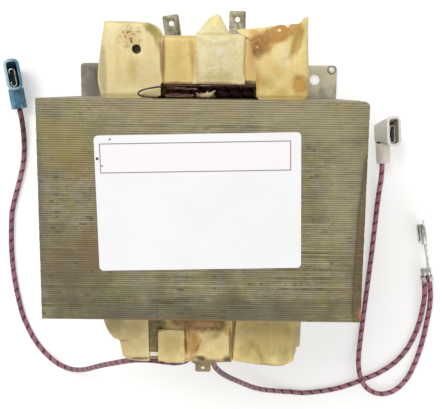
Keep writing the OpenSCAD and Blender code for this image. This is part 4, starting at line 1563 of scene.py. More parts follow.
stain = Group("stain", {"Centre": (0.0, 0.0, 0.0), "Radii": (1.0, 1.0, 1.0), "Ragged": 0.4,
                        "Soft": 0.3, "Turn": 0.0}, ["Mask", "Rim"])
off_centre = stain.vector("SUBTRACT", stain.place(), stain.given["Centre"])
turned = stain.turned(off_centre, stain.given["Turn"])
reach = stain.vector("LENGTH", stain.vector("DIVIDE", turned, stain.given["Radii"]))
wander = stain.noise(stain.place(), 0.2, detail=2.0, seed=3.0)
tatter = stain.noise(stain.place(), 0.7, detail=6.0, seed=8.0, rough=0.7)
warp = stain.math("SUBTRACT", wander, 0.5)
tatter = stain.math("SUBTRACT", tatter, 0.5)
uneven = stain.math("ADD", stain.math("MULTIPLY", warp, 2.6), stain.math("MULTIPLY", tatter, 1.5))
ragged = stain.math("ADD", reach, stain.math("MULTIPLY", uneven, stain.given["Ragged"]))
soft_start = stain.math("SUBTRACT", 1.0, stain.given["Soft"])
from_rim = stain.math("ABSOLUTE", stain.math("SUBTRACT", ragged, 0.92))
stain.give(Mask=stain.spread(ragged, 1.0, soft_start),
           Rim=stain.spread(from_rim, 0.0, 0.14, 1.0, 0.0))

# %% [markdown]
# Fibre is the fine unevenness of paper, tape and dull metal: a grain a few tenths of a
# millimetre across. It gives a value that a finish uses both for its bump and for its tone.

# %% Fine grain
grain = Group("fine grain", {"Size": 0.4, "Seed": 0.0}, ["Height"])
fine = grain.noise(grain.place(), grain.math("DIVIDE", 1.0, grain.given["Size"]), detail=5.0,
                   seed=grain.given["Seed"], rough=0.7)
grain.give(Height=fine)

# %% [markdown]
# ## Iron of the core
#
# The iron is khaki from its varnish. Along the cut edges each sheet has a tone of its own that
# changes every centimetre or two, and between the sheets lies a dark line. The tone comes from
# the number that each sheet carries, and the dark line from the place through the stack. On the
# two large faces there is no line, only a thicker skin of varnish.

# %% Sheet lines
lines = Group("sheet lines", {"Pitch": pitch / MM}, ["Groove", "Streak", "Dash", "Number", "Face"])
number = lines.carried("sheet")
x, y, z = lines.parts(lines.place())
normal = lines.node("ShaderNodeTexCoord", {}).outputs["Normal"]
face = lines.spread(lines.math("ABSOLUTE", lines.parts(normal)[1]), 0.8, 0.95)
open_edge = lines.math("SUBTRACT", 1.0, face)
phase = lines.math("FRACT", lines.math("DIVIDE", y, lines.given["Pitch"]))
from_middle = lines.math("ABSOLUTE", lines.math("SUBTRACT", phase, 0.5))
groove = lines.math("MULTIPLY", lines.spread(from_middle, 0.3, 0.47), open_edge)
along = lines.joined(x, lines.math("MULTIPLY", number, 97.0), z)
streak = lines.noise(along, 0.12, detail=7.0, seed=1.0, rough=0.74)
filled = lines.spread(lines.noise(along, 0.14, detail=2.0, seed=5.0), 0.38, 0.56, 0.3, 1.0)
dash = lines.spread(lines.noise(along, 0.24, detail=3.0, seed=9.0), 0.64, 0.68)
lines.give(Groove=lines.math("MULTIPLY", groove, filled), Streak=lines.spread(streak, 0.32, 0.68),
           Dash=lines.math("MULTIPLY", dash, open_edge), Number=number, Face=face)

# %% [markdown]
# The iron begins with its streaks. Then come paler single sheets, bare metal painted a little
# brighter as a glint, and darker ones; clouds of yellow and grey; the runs and rust stains of the
# top; and the thick varnish, on the two large faces and in a brown band down the right edge, where
# it fills the grooves. Last comes a painted highlight, warm with the red lead's colour, at the
# front end of that band.

# %% Iron finish
iron = Finish("varnished iron", 0.5, coat=0.12, Coat_Roughness=0.35)
groove, streak, dash, number, face = iron.use(lines, "Groove", "Streak", "Dash", "Number", "Face")
speck = iron.math("SUBTRACT", iron.use(grain, Size=1.0, Seed=14.0), 0.5)
streak = iron.math("ADD", iron.math("MULTIPLY", speck, 1.3), streak)
iron.start((108, 100, 72), (184, 175, 140), streak)
iron.lay((158, 152, 128), iron.spread(number, 0.55, 0.95, 0.0, 0.5))
# paler sheets: bare metal at their edges, painted a little brighter as a glint
bare_sheet_glint = iron.math("MULTIPLY", iron.spread(number, 0.93, 0.96), iron.cloud(12.0, 4.0, 0.45, 0.62))
iron.lay((196, 189, 158), bare_sheet_glint, 0.75)
dark_sheet = iron.math("MULTIPLY", iron.spread(number, 0.12, 0.08), iron.cloud(12.0, 9.0, 0.42, 0.58))
iron.lay((74, 64, 44), dark_sheet, 0.75)
for tone, size, seed, share in (
        ((142, 139, 118), 34.0, 2.0, 0.5), ((132, 108, 74), 16.0, 21.0, 0.5),
        ((150, 138, 64), 11.0, 25.0, 0.5), ((134, 128, 120), 9.0, 41.0, 0.5),
        ((96, 88, 68), 7.0, 29.0, 0.4), ((148, 134, 66), 4.0, 45.0, 0.4)):
    iron.lay(tone, iron.cloud(size, seed, 0.46, 0.66), share)
iron.lay((84, 64, 38), dash, 0.6)
iron.lay_stains(0.4, 0.6, [
    ((0, 35, 88), (62, 13, 8), (184, 170, 128), 0.4),
    ((-44, 22, 88), (13, 12, 8), (158, 146, 82), 0.55),
    ((-38, 14, 88), (7, 6, 8), (142, 108, 56), 0.4),
    ((-42, -20, 88), (16, 17, 8), (104, 88, 60), 0.55),
    ((-36, -13, 88), (5, 8, 8), (132, 98, 60), 0.5),
    ((-27, -27, 88), (9, 4, 8), (122, 124, 72), 0.45),
    ((36, 28, 88), (18, 9, 8), (182, 172, 134), 0.45),
    ((46, 6, 88), (10, 26, 8), (172, 164, 130), 0.4),
    ((0, -34, 88), (64, 9, 8), (92, 86, 66), 0.6),
    ((-11.7, -30, 88), (4.4, 0.7, 8), (100, 76, 34), 0.8),
    ((0, -36, 88), (48, 0.5, 4), (156, 110, 58), 0.7),
    ((-53.5, 0, 88), (4, 44, 8), (104, 101, 86), 0.6),
    ((53, 4, 88), (1.6, 24, 6), (142, 124, 66), 0.7),
    ((53, -14, 88), (5.5, 36, 6), (112, 98, 66), 0.7)])
rust = iron.cloud(1.6, 33.0, 0.66, 0.74)
iron.lay((128, 84, 44), rust, 0.6)
skin = iron.mix(paint(116, 106, 76), paint(150, 136, 96), iron.cloud(30.0, 6.0, 0.38, 0.64))
iron.lay(skin, face)
band_skin, band_rim = iron.use(stain, "Mask", "Rim", Centre=(54.0, -22.0, 88.0),
                               Radii=(4.7, 46.0, 5.0), Ragged=0.09, Soft=0.3)
iron.lay(iron.mix(paint(72, 56, 31), paint(130, 108, 67), streak), band_skin, 0.8)
iron.lay((56, 44, 25), band_rim, 0.55)
iron.lay((54, 47, 30), iron.math("MULTIPLY", groove, iron.spread(band_skin, 0.0, 1.0, 0.85, 0.3)))
# painted highlight: a warm glint with the red lead's colour at the front end of the band
painted_warm_highlight = iron.use(stain, Centre=(53.4, -33.5, 88.0), Radii=(2.6, 3.6, 4.0), Soft=0.6)
iron.lay((190, 136, 96), painted_warm_highlight, 0.8)
iron.link("Roughness", iron.spread(iron.cloud(9.0, 12.0, 0.35, 0.65), 0, 1, 0.42, 0.6))
iron.raise_by(0.05, iron.use(grain, Size=0.9, Seed=1.0))
iron.put_on(e_stack, i_stack, *shunts)

# %% [markdown]
# ## Bare metal
#
# The plate, the welds, the tabs and the receptacles are all dull metal, and they differ in tone,
# gloss and dirt. So one function builds such a finish from two tones and a colour of dirt.

# %% Dull metal
def dull_metal(name, light, dark, dirt, roughness, metallic, size, dirty, seed):
    """size is that of its cloudy patches, in mm, and dirty the share of the dirt."""
    metal = Finish(name, roughness, metallic)
    metal.start(dark, light, metal.cloud(size, seed, 0.35, 0.65))
    fine_tone = metal.use(grain, Size=0.7, Seed=seed)
    metal.lay(dark, metal.spread(fine_tone, 0.55, 0.75, 0.0, 0.5))
    metal.lay(dirt, metal.cloud(size * 0.45, seed + 7, 0.56, 0.68), dirty)
    metal.link("Roughness", metal.spread(fine_tone, 0.3, 0.7, roughness - 0.1, roughness + 0.15))
    metal.raise_by(0.03, fine_tone)
    return metal


# %% [markdown]
# The plate is grey, darker on its left ear and paler on its right one. It has a varnish stain at
# the front right, and a painted shadow on the left ear beside the edge of the paper above it. The
# dried drop has a dark rim, a pale ring and a painted highlight in its middle, so three round
# stains lie on each other.

# %% Plate, welds and tabs
steel = dull_metal("plate steel", (182, 178, 164), (140, 137, 126), (92, 84, 70),
                   roughness=0.5, metallic=0.35, size=14.0, dirty=0.5, seed=3.0)
steel.lay_stains(0.5, 0.5, [
    ((-46, 44, 1), (13, 16, 4), (112, 104, 94), 0.85),
    # painted shadow of the left paper's edge on the ear
    ((-37, 40, 1), (2.2, 10, 4), (62, 56, 46), 0.7),
    ((48, 46, 1), (13, 13, 6), (216, 206, 178), 0.85),
    ((46, -44, 1), (9, 4, 4), (128, 110, 82), 0.4)])
# the drop: a dark rim, a pale ring, and a painted highlight in its middle
steel.lay_stains(0.08, 0.25, [
    ((*DROP, 1.8), (radius, radius, 3.0), tone, 1.0)
    for radius, tone in ((2.2, (116, 108, 88)), (1.6, (216, 214, 204)), (0.8, (244, 242, 234)))])
hole_dirt = steel.use(stain, "Rim", Centre=(-46.0, 44.0, 1.0), Radii=(3.4, 3.4, 6.0), Ragged=0.3)
steel.lay((70, 62, 50), hole_dirt, 0.5)
steel.put_on(plate)

weld_metal = dull_metal("weld bead", (128, 118, 98), (78, 70, 58), (128, 74, 40),
                        roughness=0.45, metallic=0.5, size=3.0, dirty=0.55, seed=5.0)
weld_metal.put_on(*joint_beads, *all_stitches)

tab_metal = dull_metal("tab metal", (172, 166, 138), (118, 113, 94), (74, 64, 44),
                       roughness=0.45, metallic=0.35, size=2.2, dirty=0.7, seed=8.0)
soaked = tab_metal.use(stain, Centre=(0.0, -62.0, 61.0), Radii=(8.0, 8.0, 9.0))
tab_metal.lay((196, 168, 116), soaked, 0.5)
tab_metal.put_on(*tabs)

# %% [markdown]
# The receptacles are tinned and have been handled less: brighter, with grey clouds and some dirt.

# %% Tinned receptacles
tinned = dull_metal("tinned sheet", (236, 236, 233), (168, 167, 164), (84, 80, 74),
                    roughness=0.26, metallic=0.85, size=1.8, dirty=0.5, seed=13.0)
tinned.put_on(*[fittings[node_name] for node_name in RECEPTACLES])

# %% [markdown]
# ## Wire
#
# The enamel of the primary is a clear copper brown, deeper in large clouds of varnish. The earth
# wire is the same wire drowned in old varnish, nearly black.

# %% Enamelled and varnished wire
enamel = Finish("copper enamel", 0.34, metallic=0.2, coat=0.3, Coat_Roughness=0.2)
enamel.start((164, 104, 66), (192, 134, 88), enamel.cloud(6.0, 1.0, 0.35, 0.65))
enamel.lay((112, 70, 40), enamel.cloud(13.0, 4.0, 0.48, 0.6), 0.7)
enamel.raise_by(0.03, enamel.use(grain, Size=1.4, Seed=2.0))
enamel.put_on(primary)

old_varnish = Finish("old varnish", 0.3, metallic=0.1, coat=0.4, Coat_Roughness=0.2)
old_varnish.start((52, 36, 24), (98, 66, 40), old_varnish.cloud(2.5, 3.0, 0.45, 0.65))
old_varnish.put_on(earth)

# %% [markdown]
# ## Paper
#
# All the paper and tape is cream where it is clean and turns gold, khaki and brown where varnish
# has soaked in. One function gives the sheet its clean tones, its slow clouds, its fibre and its
# specks, and then lays on stains, each at its own place with its own colour.

# %% Soaked paper
def darker(tone, red, green, blue):
    """A tone with each of its parts brought down to a share."""
    return (tone[0] * red, tone[1] * green, tone[2] * blue)


def soaked_paper(name, clean, tones, stains, roughness=0.55, fibre=0.5, specks=0.4, seed=0.0):
    """tones are (colour, cloud size, share). A stain is (centre, radii, turn, colour, share),
    then its softness and the share of its dried rim, where it has them."""
    paper = Finish(name, roughness, coat=0.1, Coat_Roughness=0.45)
    paper.colour = paint(*clean)
    for i, (tone, size, share) in enumerate(tones):
        paper.lay(tone, paper.cloud(size, seed + 2 * i, 0.36, 0.66), share)
    wet = 0.0
    for centre, radii, turn, tone, share, *more in stains:
        soft, rim_share = more + [0.5, 0.0][len(more):]
        mask, rim = paper.use(stain, "Mask", "Rim", Centre=centre, Radii=radii,
                              Turn=math.radians(-turn), Ragged=0.42, Soft=soft)
        mask = paper.math("MULTIPLY", mask, share)
        paper.lay(tone, mask)
        if rim_share:
            paper.lay(darker(tone, 0.7, 0.7, 0.7), rim, rim_share)
        wet = paper.math("MAXIMUM", wet, mask)
    fine_tone = paper.use(grain, Size=fibre, Seed=seed)
    paper.lay(darker(clean, 0.8, 0.8, 0.8), paper.spread(fine_tone, 0.5, 0.75, 0.0, 0.4))
    paper.lay(darker(clean, 0.9, 0.84, 0.68), paper.cloud(1.7, seed + 9, 0.5, 0.72), 0.5)
    speck = paper.math("MULTIPLY", paper.cloud(0.5, seed + 5, 0.68, 0.71),
                       paper.cloud(6.0, seed + 6, 0.5, 0.6))
    paper.lay((96, 70, 40), speck, specks)
    paper.link("Roughness", paper.spread(wet, 0.0, 1.0, roughness, roughness - 0.15))
    paper.raise_by(0.05, fine_tone)
    return paper


# %% [markdown]
# The left paper is pale, with a yellow run along its inner edge. Painted light lifts it where it
# meets the core, and painted shade lies on its curled corner and along its outer fold. Its
# punched hole shows nothing but old varnish: its wall and the layers below it are nearly black,
# and small drops lie near it.

# %% Left window paper
DEEP = 9.0   # a stain reaches this far through the paper's height, in mm
left_paper = soaked_paper("left window paper", (248, 228, 168), [
    ((228, 202, 132), 9.0, 0.5), ((252, 240, 196), 6.0, 0.5), ((212, 192, 122), 15.0, 0.3)], [
    ((-25.2, 56.2, 72), (4.4, 4.0, DEEP), 0, (204, 166, 90), 0.75, 1.0),
    ((-24, 45.5, 72), (2.4, 7.5, DEEP), 6, (208, 180, 98), 0.75, 1.0),
    ((-29, 50, 72), (1.6, 11, DEEP), 0, (226, 200, 130), 0.6, 1.0),
    # painted light, where the core's shade falls on the paper
    ((-24, 38.6, 72), (9, 3.2, DEEP), 0, (254, 240, 188), 0.8, 1.0),
    # painted shade on the inner corner, which curls down
    ((-17, 58.4, 72), (4.2, 2.2, DEEP), -38, (160, 146, 76), 0.95),
    ((-16.0, 55.4, 72), (0.9, 4.8, DEEP), 16, (182, 158, 84), 0.8),
    ((-14.4, 48.5, 72), (0.7, 10, DEEP), 2, (152, 114, 56), 0.85),
    # painted shade along the outer fold
    ((-34, 46, 72), (1.6, 14, DEEP), 3, (160, 148, 106), 0.6),
    ((-26, 61.2, 72), (9, 0.8, DEEP), 0, (196, 172, 108), 0.7),
    ((-26, -48, 72), (14, 12, DEEP), 0, (198, 178, 122), 0.85, 1.0),
    ((-31.6, -44, 72), (4, 5, DEEP), -50, (168, 160, 104), 0.8),
    ((-24, -46, 72), (3, 4, DEEP), 20, (206, 170, 124), 0.5),
    ((-28.4, -49.6, 72), (2.6, 0.5, DEEP), 8, (150, 128, 78), 0.7),
    ((-22.4, -56.6, 71), (5, 1.1, DEEP), 4, (118, 92, 50), 0.95)],
    seed=1.0, specks=0.6)
near_hole = left_paper.use(stain, Centre=(-25.0, 56.0, 72.0), Radii=(4.6, 4.8, DEEP), Soft=0.9)
small_drops = left_paper.cloud(0.9, 31.0, 0.53, 0.58)
left_paper.lay((84, 58, 30), left_paper.math("MULTIPLY", small_drops, near_hole))
hole_rim = left_paper.use(stain, Centre=(*HOLE, 71.0), Radii=(1.75, 1.75, 4.0), Ragged=0.12,
                          Soft=0.15)
left_paper.lay((70, 44, 22), hole_rim)
left_paper.put_on(left_liner)

# %% [markdown]
# The right paper is more golden. A brown pool of varnish has dried at its tip, with a few pale
# drops in it, and runs of yellow and brown follow its folds. Painted shade lies in the valley
# beside its raised corner, and a painted highlight lies on the corner's rise.

# %% Right window paper
right_paper = soaked_paper("right window paper", (247, 223, 150), [
    ((232, 200, 114), 10.0, 0.5), ((252, 235, 172), 7.0, 0.5)], [
    ((26, 50.3, 72), (4.6, 5.2, DEEP), 0, (255, 242, 196), 0.8, 1.0),
    ((24.5, 45, 72), (3.4, 4.2, DEEP), 0, (236, 190, 100), 0.6, 1.0),
    ((20, 41.2, 72), (5.4, 3.4, DEEP), -8, (194, 164, 54), 0.9, 1.0),
    ((26, 38.8, 72), (4.4, 2.6, DEEP), 0, (220, 192, 96), 0.8, 1.0),
    ((17.7, 43, 72), (1.6, 8, DEEP), 0, (200, 144, 66), 0.8, 1.0),
    ((23.4, 57.4, 72), (8.6, 3.8, DEEP), 20, (184, 128, 46), 0.92, 0.35),
    ((18.2, 54.4, 72), (5.2, 5.6, DEEP), 0, (160, 106, 28), 0.95, 0.4),
    ((17.0, 52.6, 72), (3.0, 3.4, DEEP), 0, (138, 90, 32), 0.7),
    ((22.8, 54.8, 72), (5, 1.6, DEEP), 36, (208, 150, 62), 0.6, 1.0),
    ((17, 57.8, 72), (2.2, 1.2, DEEP), 0, (224, 172, 92), 0.7),
    ((17.5, 53.3, 73), (0.62, 0.62, DEEP), 0, (226, 168, 92), 0.9, 0.3, 0.9),
    ((24.8, 58.8, 72), (0.8, 0.6, DEEP), 0, (250, 232, 176), 0.9, 0.4),
    ((21.5, 59.9, 72), (0.9, 0.5, DEEP), 0, (246, 226, 168), 0.9, 0.4),
    ((27.6, 60.2, 72), (0.7, 0.5, DEEP), 0, (250, 232, 176), 0.9, 0.4),
    # painted shade in the valley beside the raised corner
    ((30.8, 55.0, 73), (2.4, 7.0, DEEP), -18, (188, 152, 66), 0.9),
    # painted highlight on the rise of the raised corner
    ((33.4, 57.5, 74), (0.8, 5, DEEP), -12, (246, 226, 168), 0.7),
    ((31.6, 41.0, 72), (3.8, 4.6, DEEP), -6, (206, 158, 66), 0.92),
    ((31.7, 43.4, 72), (2.6, 1.1, DEEP), 8, (154, 108, 48), 0.6, 1.0),
    ((24, -48, 72), (17, 14, DEEP), 0, (194, 172, 108), 0.95, 0.6),
    ((16, -45.6, 72), (4, 5, DEEP), 0, (190, 160, 120), 0.5, 1.0),
    ((20.5, -53.5, 72), (1.6, 5.4, DEEP), 20, (154, 126, 62), 0.6, 1.0),
    ((28.6, -53.4, 72), (4.4, 4.4, DEEP), -20, (150, 140, 76), 0.7, 1.0),
    ((24.5, -48, 72), (0.9, 9, DEEP), 0, (212, 190, 128), 0.6, 1.0),
    ((18, -50.5, 72), (2.2, 2.6, DEEP), 0, (150, 122, 66), 0.6, 1.0),
    ((30.5, -45.5, 72), (2.4, 4.4, DEEP), 12, (152, 144, 84), 0.6, 1.0),
    ((27, -54.6, 72), (2.6, 1.8, DEEP), 0, (214, 196, 132), 0.6, 1.0),
    ((33.6, -50, 72), (1.8, 9, DEEP), -8, (170, 154, 104), 0.7),
    ((24, -58.2, 71), (10, 0.9, DEEP), -4, (176, 154, 96), 0.8)],
    seed=20.0, specks=0.4)
right_paper.put_on(right_liner)

# %% [markdown]
# The papers of the primary are less stained. The formers are soaked through, and only the torn
# scrap in the middle of the gap has stayed pale.

# %% Lower papers and formers
lower_paper = soaked_paper("primary window paper", (232, 212, 152), [
    ((202, 172, 106), 11.0, 0.6), ((242, 228, 180), 7.0, 0.4), ((176, 140, 76), 18.0, 0.4)], [
    ((30, 57, 22), (5, 3, 5), 0, (150, 108, 56), 0.6),
    ((-32, -56, 30), (3, 3, 6), 0, (150, 108, 56), 0.6)], seed=40.0)
lower_paper.put_on(*primary_papers)

former_paper = soaked_paper("soaked former", (112, 84, 58), [
    ((70, 48, 36), 6.0, 0.8), ((150, 118, 84), 4.0, 0.4)], [
    ((-8, 38.4, 71), (7, 1.6, 3), 0, (150, 112, 104), 0.7, 1.0),
    ((1.1, 38.4, 71), (4.4, 2.6, 2.6), 0, (222, 200, 158), 0.95, 0.3),
    ((10.5, 40, 71), (7.5, 1.4, 3), 0, (104, 72, 36), 0.8)], seed=50.0)
# the dark strips deep in the gap, which stand in for its shade, take this finish too
former_paper.put_on(*formers)

# %% [markdown]
# The wraps are a deeper gold, brown next to the core, with painted shadow in thin bands beside
# the edges of the left paper, the tape and the right paper. Of the coil itself only the paper
# edges show, soaked through. They are nearly black under the hole, and painted nearly black
# beside the leg, where the shade of the gap falls.

# %% Golden paper and the coil's own layers
gold = soaked_paper("golden paper", (240, 212, 134), [
    ((222, 188, 106), 8.0, 0.6), ((246, 222, 154), 6.0, 0.5)], [
    ((-8.8, 49.5, 71), (3, 9, 6), 0, (206, 178, 104), 0.6, 1.0),
    # painted shadow beside the tape's left edge
    ((-4.0, 49, 71), (1.3, 10, 6), 6, (188, 150, 82), 0.75, 1.0),
    # painted shadow beside the left paper's inner edge
    ((-13.6, 49, 71), (0.7, 10, 6), 0, (178, 140, 78), 0.8),
    ((-8, 57, 71), (6, 1.2, 6), 0, (206, 176, 112), 0.6),
    # painted shadow between the tape and the right paper
    ((15.6, 50, 71), (2.2, 10, 6), 0, (206, 160, 84), 0.7, 1.0),
    ((-8, 41.2, 71), (12, 0.6, 4), 0, (116, 80, 48), 0.7),
    ((13, 41.4, 71), (9, 1.3, 4), 0, (84, 56, 26), 0.95),
    ((-17.4, -47, 71), (3.6, 15, 8), 0, (118, 106, 72), 1.0, 0.3),
    ((-15, -43, 71), (4, 3, 8), 0, (108, 98, 66), 0.9),
    ((-17.5, -54.7, 71), (4.2, 0.95, 4), 0, (250, 238, 230), 1.0, 0.2),
    ((12, -47, 71), (3, 14, 8), 0, (148, 116, 64), 0.8)],
    roughness=0.42, fibre=0.6, specks=0.3, seed=60.0)
gold.put_on(*wraps)

coil_skin = soaked_paper("varnished layers", (206, 152, 78), [
    ((168, 106, 48), 9.0, 0.7), ((224, 182, 108), 5.0, 0.4)], [
    ((0, 56, 56), (20, 4, 3), 0, (132, 78, 34), 0.6),
    ((0, -56, 56), (20, 4, 3), 0, (132, 78, 34), 0.6),
    ((*HOLE, 71), (4, 4, 4), 0, (64, 40, 20), 1.0, 0.2),
    # painted shade in the gap between the coil and the leg
    ((0, 39.5, 70), (20, 3.4, 5), 0, (70, 44, 28), 0.9, 0.4)],
    roughness=0.35, fibre=0.8, specks=0.3, seed=70.0)
coil_skin.put_on(secondary)

# %% [markdown]
# The crepe at the back is the palest paper of all. The front one has taken the most varnish: its
# two ends are dark brown, with a light patch where the pale strip covers it. Along the bend of
# its outer end, painted shade darkens the varnish further.

# %% Crepe tapes
back_crepe = soaked_paper("crepe tape", (238, 224, 168), [
    ((222, 202, 134), 5.0, 0.5), ((246, 237, 196), 3.2, 0.6)], [
    ((5.4, 50.5, 72), (6.4, 6.4, 6), 0, (232, 222, 184), 0.8, 1.0),
    ((5, 51.8, 72), (2.4, 2.4, 6), 20, (248, 240, 214), 0.7, 1.0),
    ((3.5, 61.5, 66), (7, 4.4, 9), 0, (244, 230, 158), 0.9),
    ((4.2, 65.0, 66), (2.6, 2.6, 10), 0, (248, 242, 214), 0.9),
    ((-3.0, 49, 72), (1.2, 10, 6), 6, (206, 172, 100), 0.75, 1.0),
    ((5, 57.4, 72), (8, 0.7, 4), 0, (214, 190, 118), 0.6),
    ((13.4, 50, 72), (0.9, 10, 6), 0, (208, 168, 94), 0.7),
    ((5, 43, 72), (9, 2.2, 6), 0, (200, 182, 122), 0.75, 1.0),
    ((5, 41.2, 72), (10, 0.8, 6), 0, (150, 118, 70), 0.8)],
    roughness=0.6, fibre=0.7, specks=0.2, seed=80.0)
back_crepe.put_on(back_tape)

front_crepe = soaked_paper("stained crepe tape", (240, 216, 150), [
    ((214, 184, 108), 5.0, 0.5), ((248, 230, 174), 3.2, 0.5)], [
    ((-11, -50.5, 73), (6.5, 7, 6), 0, (200, 178, 112), 0.9, 0.6),
    ((-3, -42.8, 72), (15, 3.8, 6), 0, (140, 96, 50), 0.95, 0.4),
    ((-15.6, -43.0, 72), (5.4, 3.4, 6), 0, (106, 98, 66), 0.95, 0.4),
    ((1, -43.2, 72), (5.4, 1.5, 6), 0, (198, 150, 102), 0.85),
    ((-3.6, -50.4, 72), (3.4, 7.4, 6), 6, (186, 138, 62), 0.9),
    ((-1.8, -52, 72), (3.6, 0.6, 6), 64, (156, 106, 46), 0.85, 0.7),
    ((-6.0, -49, 72), (0.5, 9, 6), 3, (120, 82, 38), 0.95, 0.5),
    ((5.6, -44.0, 72), (2.4, 4.4, 6), -14, (132, 104, 48), 0.8, 0.9),
    ((4.2, -47.2, 72), (3.0, 1.9, 6), 35, (168, 132, 68), 0.6, 1.0),
    ((8.6, -45.6, 72), (1.6, 1.8, 6), 0, (218, 178, 92), 0.8),
    ((9.9, -50, 72), (0.7, 9, 6), 0, (134, 96, 46), 0.85),
    # varnish brown along the outer bend, darkened further as painted shade
    ((3, -56.8, 70), (11, 1.8, 8), 0, (104, 74, 38), 0.9, 0.7),
    ((-0.6, -55.6, 71), (3.4, 1.4, 8), 0, (74, 50, 30), 0.95, 0.6),
    ((8.6, -56.0, 68), (2.8, 1.8, 8), 0, (82, 56, 32), 0.95)],
    roughness=0.5, fibre=0.7, specks=0.4, seed=90.0)
front_crepe.put_on(front_tape)

lower_crepe = soaked_paper("primary tape", (224, 200, 140), [
    ((194, 158, 94), 8.0, 0.6), ((236, 218, 168), 4.0, 0.5)],
    [((x, 57, 30), (4, 3, 8), 0, (136, 98, 56), 0.5) for x in TAB_CENTRES],
    roughness=0.6, fibre=0.7, specks=0.3, seed=100.0)
lower_crepe.put_on(*primary_tapes)

# %% [markdown]
# ## Braid
#
# The pink of the braid is darkened with painted shade where the yarns cross under, so the crowns
# of the yarns read lighter. A dark tracer yarn winds round it in dashes, because every second
# crossing hides it. Both follow the UV map, which counts turns and millimetres.

# %% Braid pattern
braid = Group("braid", {"Tracer pitch": 4.6}, ["Tracer", "Valley"])
turn_at, along_at, _ = braid.parts(braid.node("ShaderNodeUVMap", {}, uv_map="along").outputs[0])
travel = braid.math("DIVIDE", along_at, braid.given["Tracer pitch"])
tracer_phase = braid.math("FRACT", braid.math("SUBTRACT", turn_at, travel))
off_tracer = braid.math("ABSOLUTE", braid.math("SUBTRACT", tracer_phase, 0.5))
lay_turns = braid.math("DIVIDE", along_at, BRAID_LAY / MM)
right_way = braid.math("ADD", turn_at, lay_turns)
left_way = braid.math("SUBTRACT", turn_at, lay_turns)
crossings = braid.math("SINE", braid.math("MULTIPLY", right_way, math.pi * BRAID_YARNS))
crown_right, crown_left = [
    braid.math("COSINE", braid.math("MULTIPLY", way, 2 * math.pi * BRAID_YARNS))
    for way in (right_way, left_way)]
braid.give(Tracer=braid.math("MULTIPLY", braid.spread(off_tracer, 0.15, 0.115),
                             braid.spread(crossings, -0.95, -0.6)),
           Valley=braid.spread(braid.math("ADD", crown_right, crown_left), 0.2, -1.8))

# %% [markdown]
# The leads are dirtier in some stretches than in others, the left one most of all. Those are
# stains again, each wide enough to take in the whole lead at its place.

# %% Braid finish
sleeve = Finish("pink braid", 0.55, Sheen_Weight=0.15)
sleeve.start((204, 140, 156), (178, 110, 130), sleeve.cloud(7.0, 1.0, 0.35, 0.65))
sleeve.lay_stains(0.4, 0.9, [
    ((-81, 22, 2), (12, 20, 12), (112, 66, 78), 0.95),
    ((-87, -28, 1), (12, 22, 12), (134, 86, 98), 0.75),
    ((-84, 0, 1), (9, 9, 9), (204, 164, 174), 0.6),
    ((-86, -58, 1), (12, 18, 12), (140, 94, 104), 0.7),
    ((-57, -87, 8), (16, 12, 14), (138, 116, 114), 0.8),
    ((-42, -79, 22), (13, 12, 18), (108, 92, 92), 0.85),
    ((-22, -66, 44), (20, 12, 18), (112, 58, 70), 0.8),
    ((6, -78, 30), (13, 14, 20), (112, 92, 88), 0.9),
    ((22, -92, 12), (14, 12, 14), (156, 126, 124), 0.8),
    ((46, -98, 3), (22, 9, 9), (170, 132, 138), 0.7),
    ((98, -60, 3), (9, 26, 9), (186, 104, 126), 0.6)])
sleeve.lay((112, 72, 84), sleeve.cloud(3.0, 6.0, 0.5, 0.66), 0.45)
tracer, valley = sleeve.use(braid, "Tracer", "Valley")
# painted shade in the hollows between the yarns
sleeve.lay((96, 52, 70), valley, 0.7)
sleeve.lay((30, 22, 26), tracer, 0.95)
sleeve.raise_by(0.04, sleeve.use(grain, Size=0.35, Seed=1.0))
sleeve.put_on(heater, *[lead for lead, line, on_it in leads.values()])

# %% [markdown]
# ## Label
#
# The paper is white with faint clouds and a few specks of varnish. Its only mark is a plain
# ruled box: the distance to the box's outline gives the line.

# %% Ruled box
ruled = Group("ruled box", {"Centre": (0.0, 0.0, 0.0), "Half": (10.0, 5.0, 0.0), "Turn": 0.0,
                            "Width": 0.3}, ["Line", "Inside"])
from_centre = ruled.vector("SUBTRACT", ruled.place(), ruled.given["Centre"])
straight = ruled.turned(from_centre, ruled.given["Turn"])
past = ruled.vector("SUBTRACT", ruled.vector("ABSOLUTE", straight), ruled.given["Half"])
past_x, past_y, _ = ruled.parts(past)
outside = ruled.math("MAXIMUM", past_x, past_y)
half_line = ruled.math("MULTIPLY", ruled.given["Width"], 0.5)
ruled.give(Line=ruled.math("LESS_THAN", ruled.math("ABSOLUTE", outside), half_line),
           Inside=ruled.math("LESS_THAN", outside, 0.0))

# %% [markdown]
# The tint of the box and its outline are laid over the white, and then the specks: a few faint
# ones, and three larger dots near one corner.

# %% Label finish
label_white = Finish("label paper", 0.5, coat=0.1, Coat_Roughness=0.3)
label_white.start((251, 251, 252), (248, 248, 246), label_white.cloud(14.0, 1.0, 0.4, 0.6))
box_line, in_box = label_white.use(
    ruled, "Line", "Inside", Half=(30.2, 4.6, 0.0), Turn=-label_turn, Width=0.32,
    Centre=(label_centre.x / MM - 1.2, label_centre.y / MM + 14.6, 0.0))
label_white.lay((253, 249, 250), in_box)
label_white.lay((118, 88, 102), box_line, 0.85)
label_white.lay((120, 104, 72), label_white.cloud(0.7, 3.0, 0.75, 0.77), 0.6)
label_white.lay_stains(0.2, 0.3, [
    ((x, y, 89.0), (radius, radius, 2.0), (58, 52, 44), 1.0)
    for x, y, radius in ((-33.3, 17.1, 0.55), (-31.8, 14.8, 0.3), (-29.2, 23.3, 0.35))])
label_white.raise_by(0.02, label_white.use(grain, Size=0.5, Seed=5.0))
label_white.put_on(label)
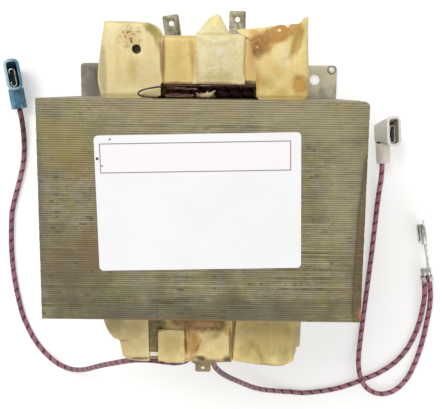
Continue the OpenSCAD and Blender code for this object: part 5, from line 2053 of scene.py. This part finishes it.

# %% [markdown]
# ## Nylon
#
# Nylon lets a little light in, so it never looks quite solid: subsurface scattering of about a
# millimetre gives that. Its inside is painted dark as shade, and the highest part of each sleeve,
# round its mouth, is painted pale as a highlight.

# %% Nylon
def nylon(name, light, dark, dirt, inner_shade, seed):
    shell = Finish(name, 0.35, coat=0.15, Coat_Roughness=0.25, Subsurface_Weight=0.25,
                   Subsurface_Scale=0.8 * MM)
    shell.start(light, dark, shell.cloud(3.0, seed, 0.4, 0.65))
    shell.lay(dirt, shell.cloud(1.6, seed + 3, 0.55, 0.7), 0.4)
    # painted shade on the faces inside the sleeve
    shell.lay(inner_shade, shell.carried("inside"), 0.9)
    shell.raise_by(0.02, shell.use(grain, Size=0.6, Seed=seed))
    return shell


def painted_rim_highlight(shell, node_name, tone):
    """Lays a painted highlight, a pale tone, over the top of a sleeve, and puts the finish on it."""
    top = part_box(node_name)[1].z / MM
    height = shell.parts(shell.place())[2]
    shell.lay(tone, shell.spread(height, top - 1.6, top - 0.4, 0.0, 0.85))
    shell.put_on(fittings[node_name])


# %% [markdown]
# The neck of the blue sleeve is ribbed, with painted shade down its middle and painted
# highlights along its two edges. The natural sleeve is paler at its neck.

# %% Nylon sleeves
blue = nylon("blue nylon", (104, 156, 184), (66, 118, 148), (40, 80, 102), (34, 60, 74), 2)
# painted shade down the middle of the neck, and painted highlights along its two edges
for out, half_width, tone, share in ((0.0, 2.2, (26, 78, 106), 0.9),
                                     (-2.0, 0.6, (186, 208, 218), 0.7),
                                     (2.0, 0.6, (206, 222, 228), 0.8)):
    rib = blue.use(stain, Centre=(-81.7 + out, 28.0, 6.0), Radii=(half_width, 4.8, 7.0),
                   Turn=math.radians(-9), Ragged=0.1, Soft=0.6)
    blue.lay(tone, rib, share)
painted_rim_highlight(blue, "blue_sleeve", (190, 216, 228))

natural = nylon("natural nylon", (236, 232, 220), (220, 215, 200), (186, 178, 162),
                (142, 135, 122), 6)
neck = natural.use(stain, Centre=(76.4, 9.0, 4.0), Radii=(5.0, 6.0, 6.0), Ragged=0.2, Soft=0.4)
natural.lay((240, 232, 224), neck, 0.9)
painted_rim_highlight(natural, "white_sleeve", (246, 243, 236))
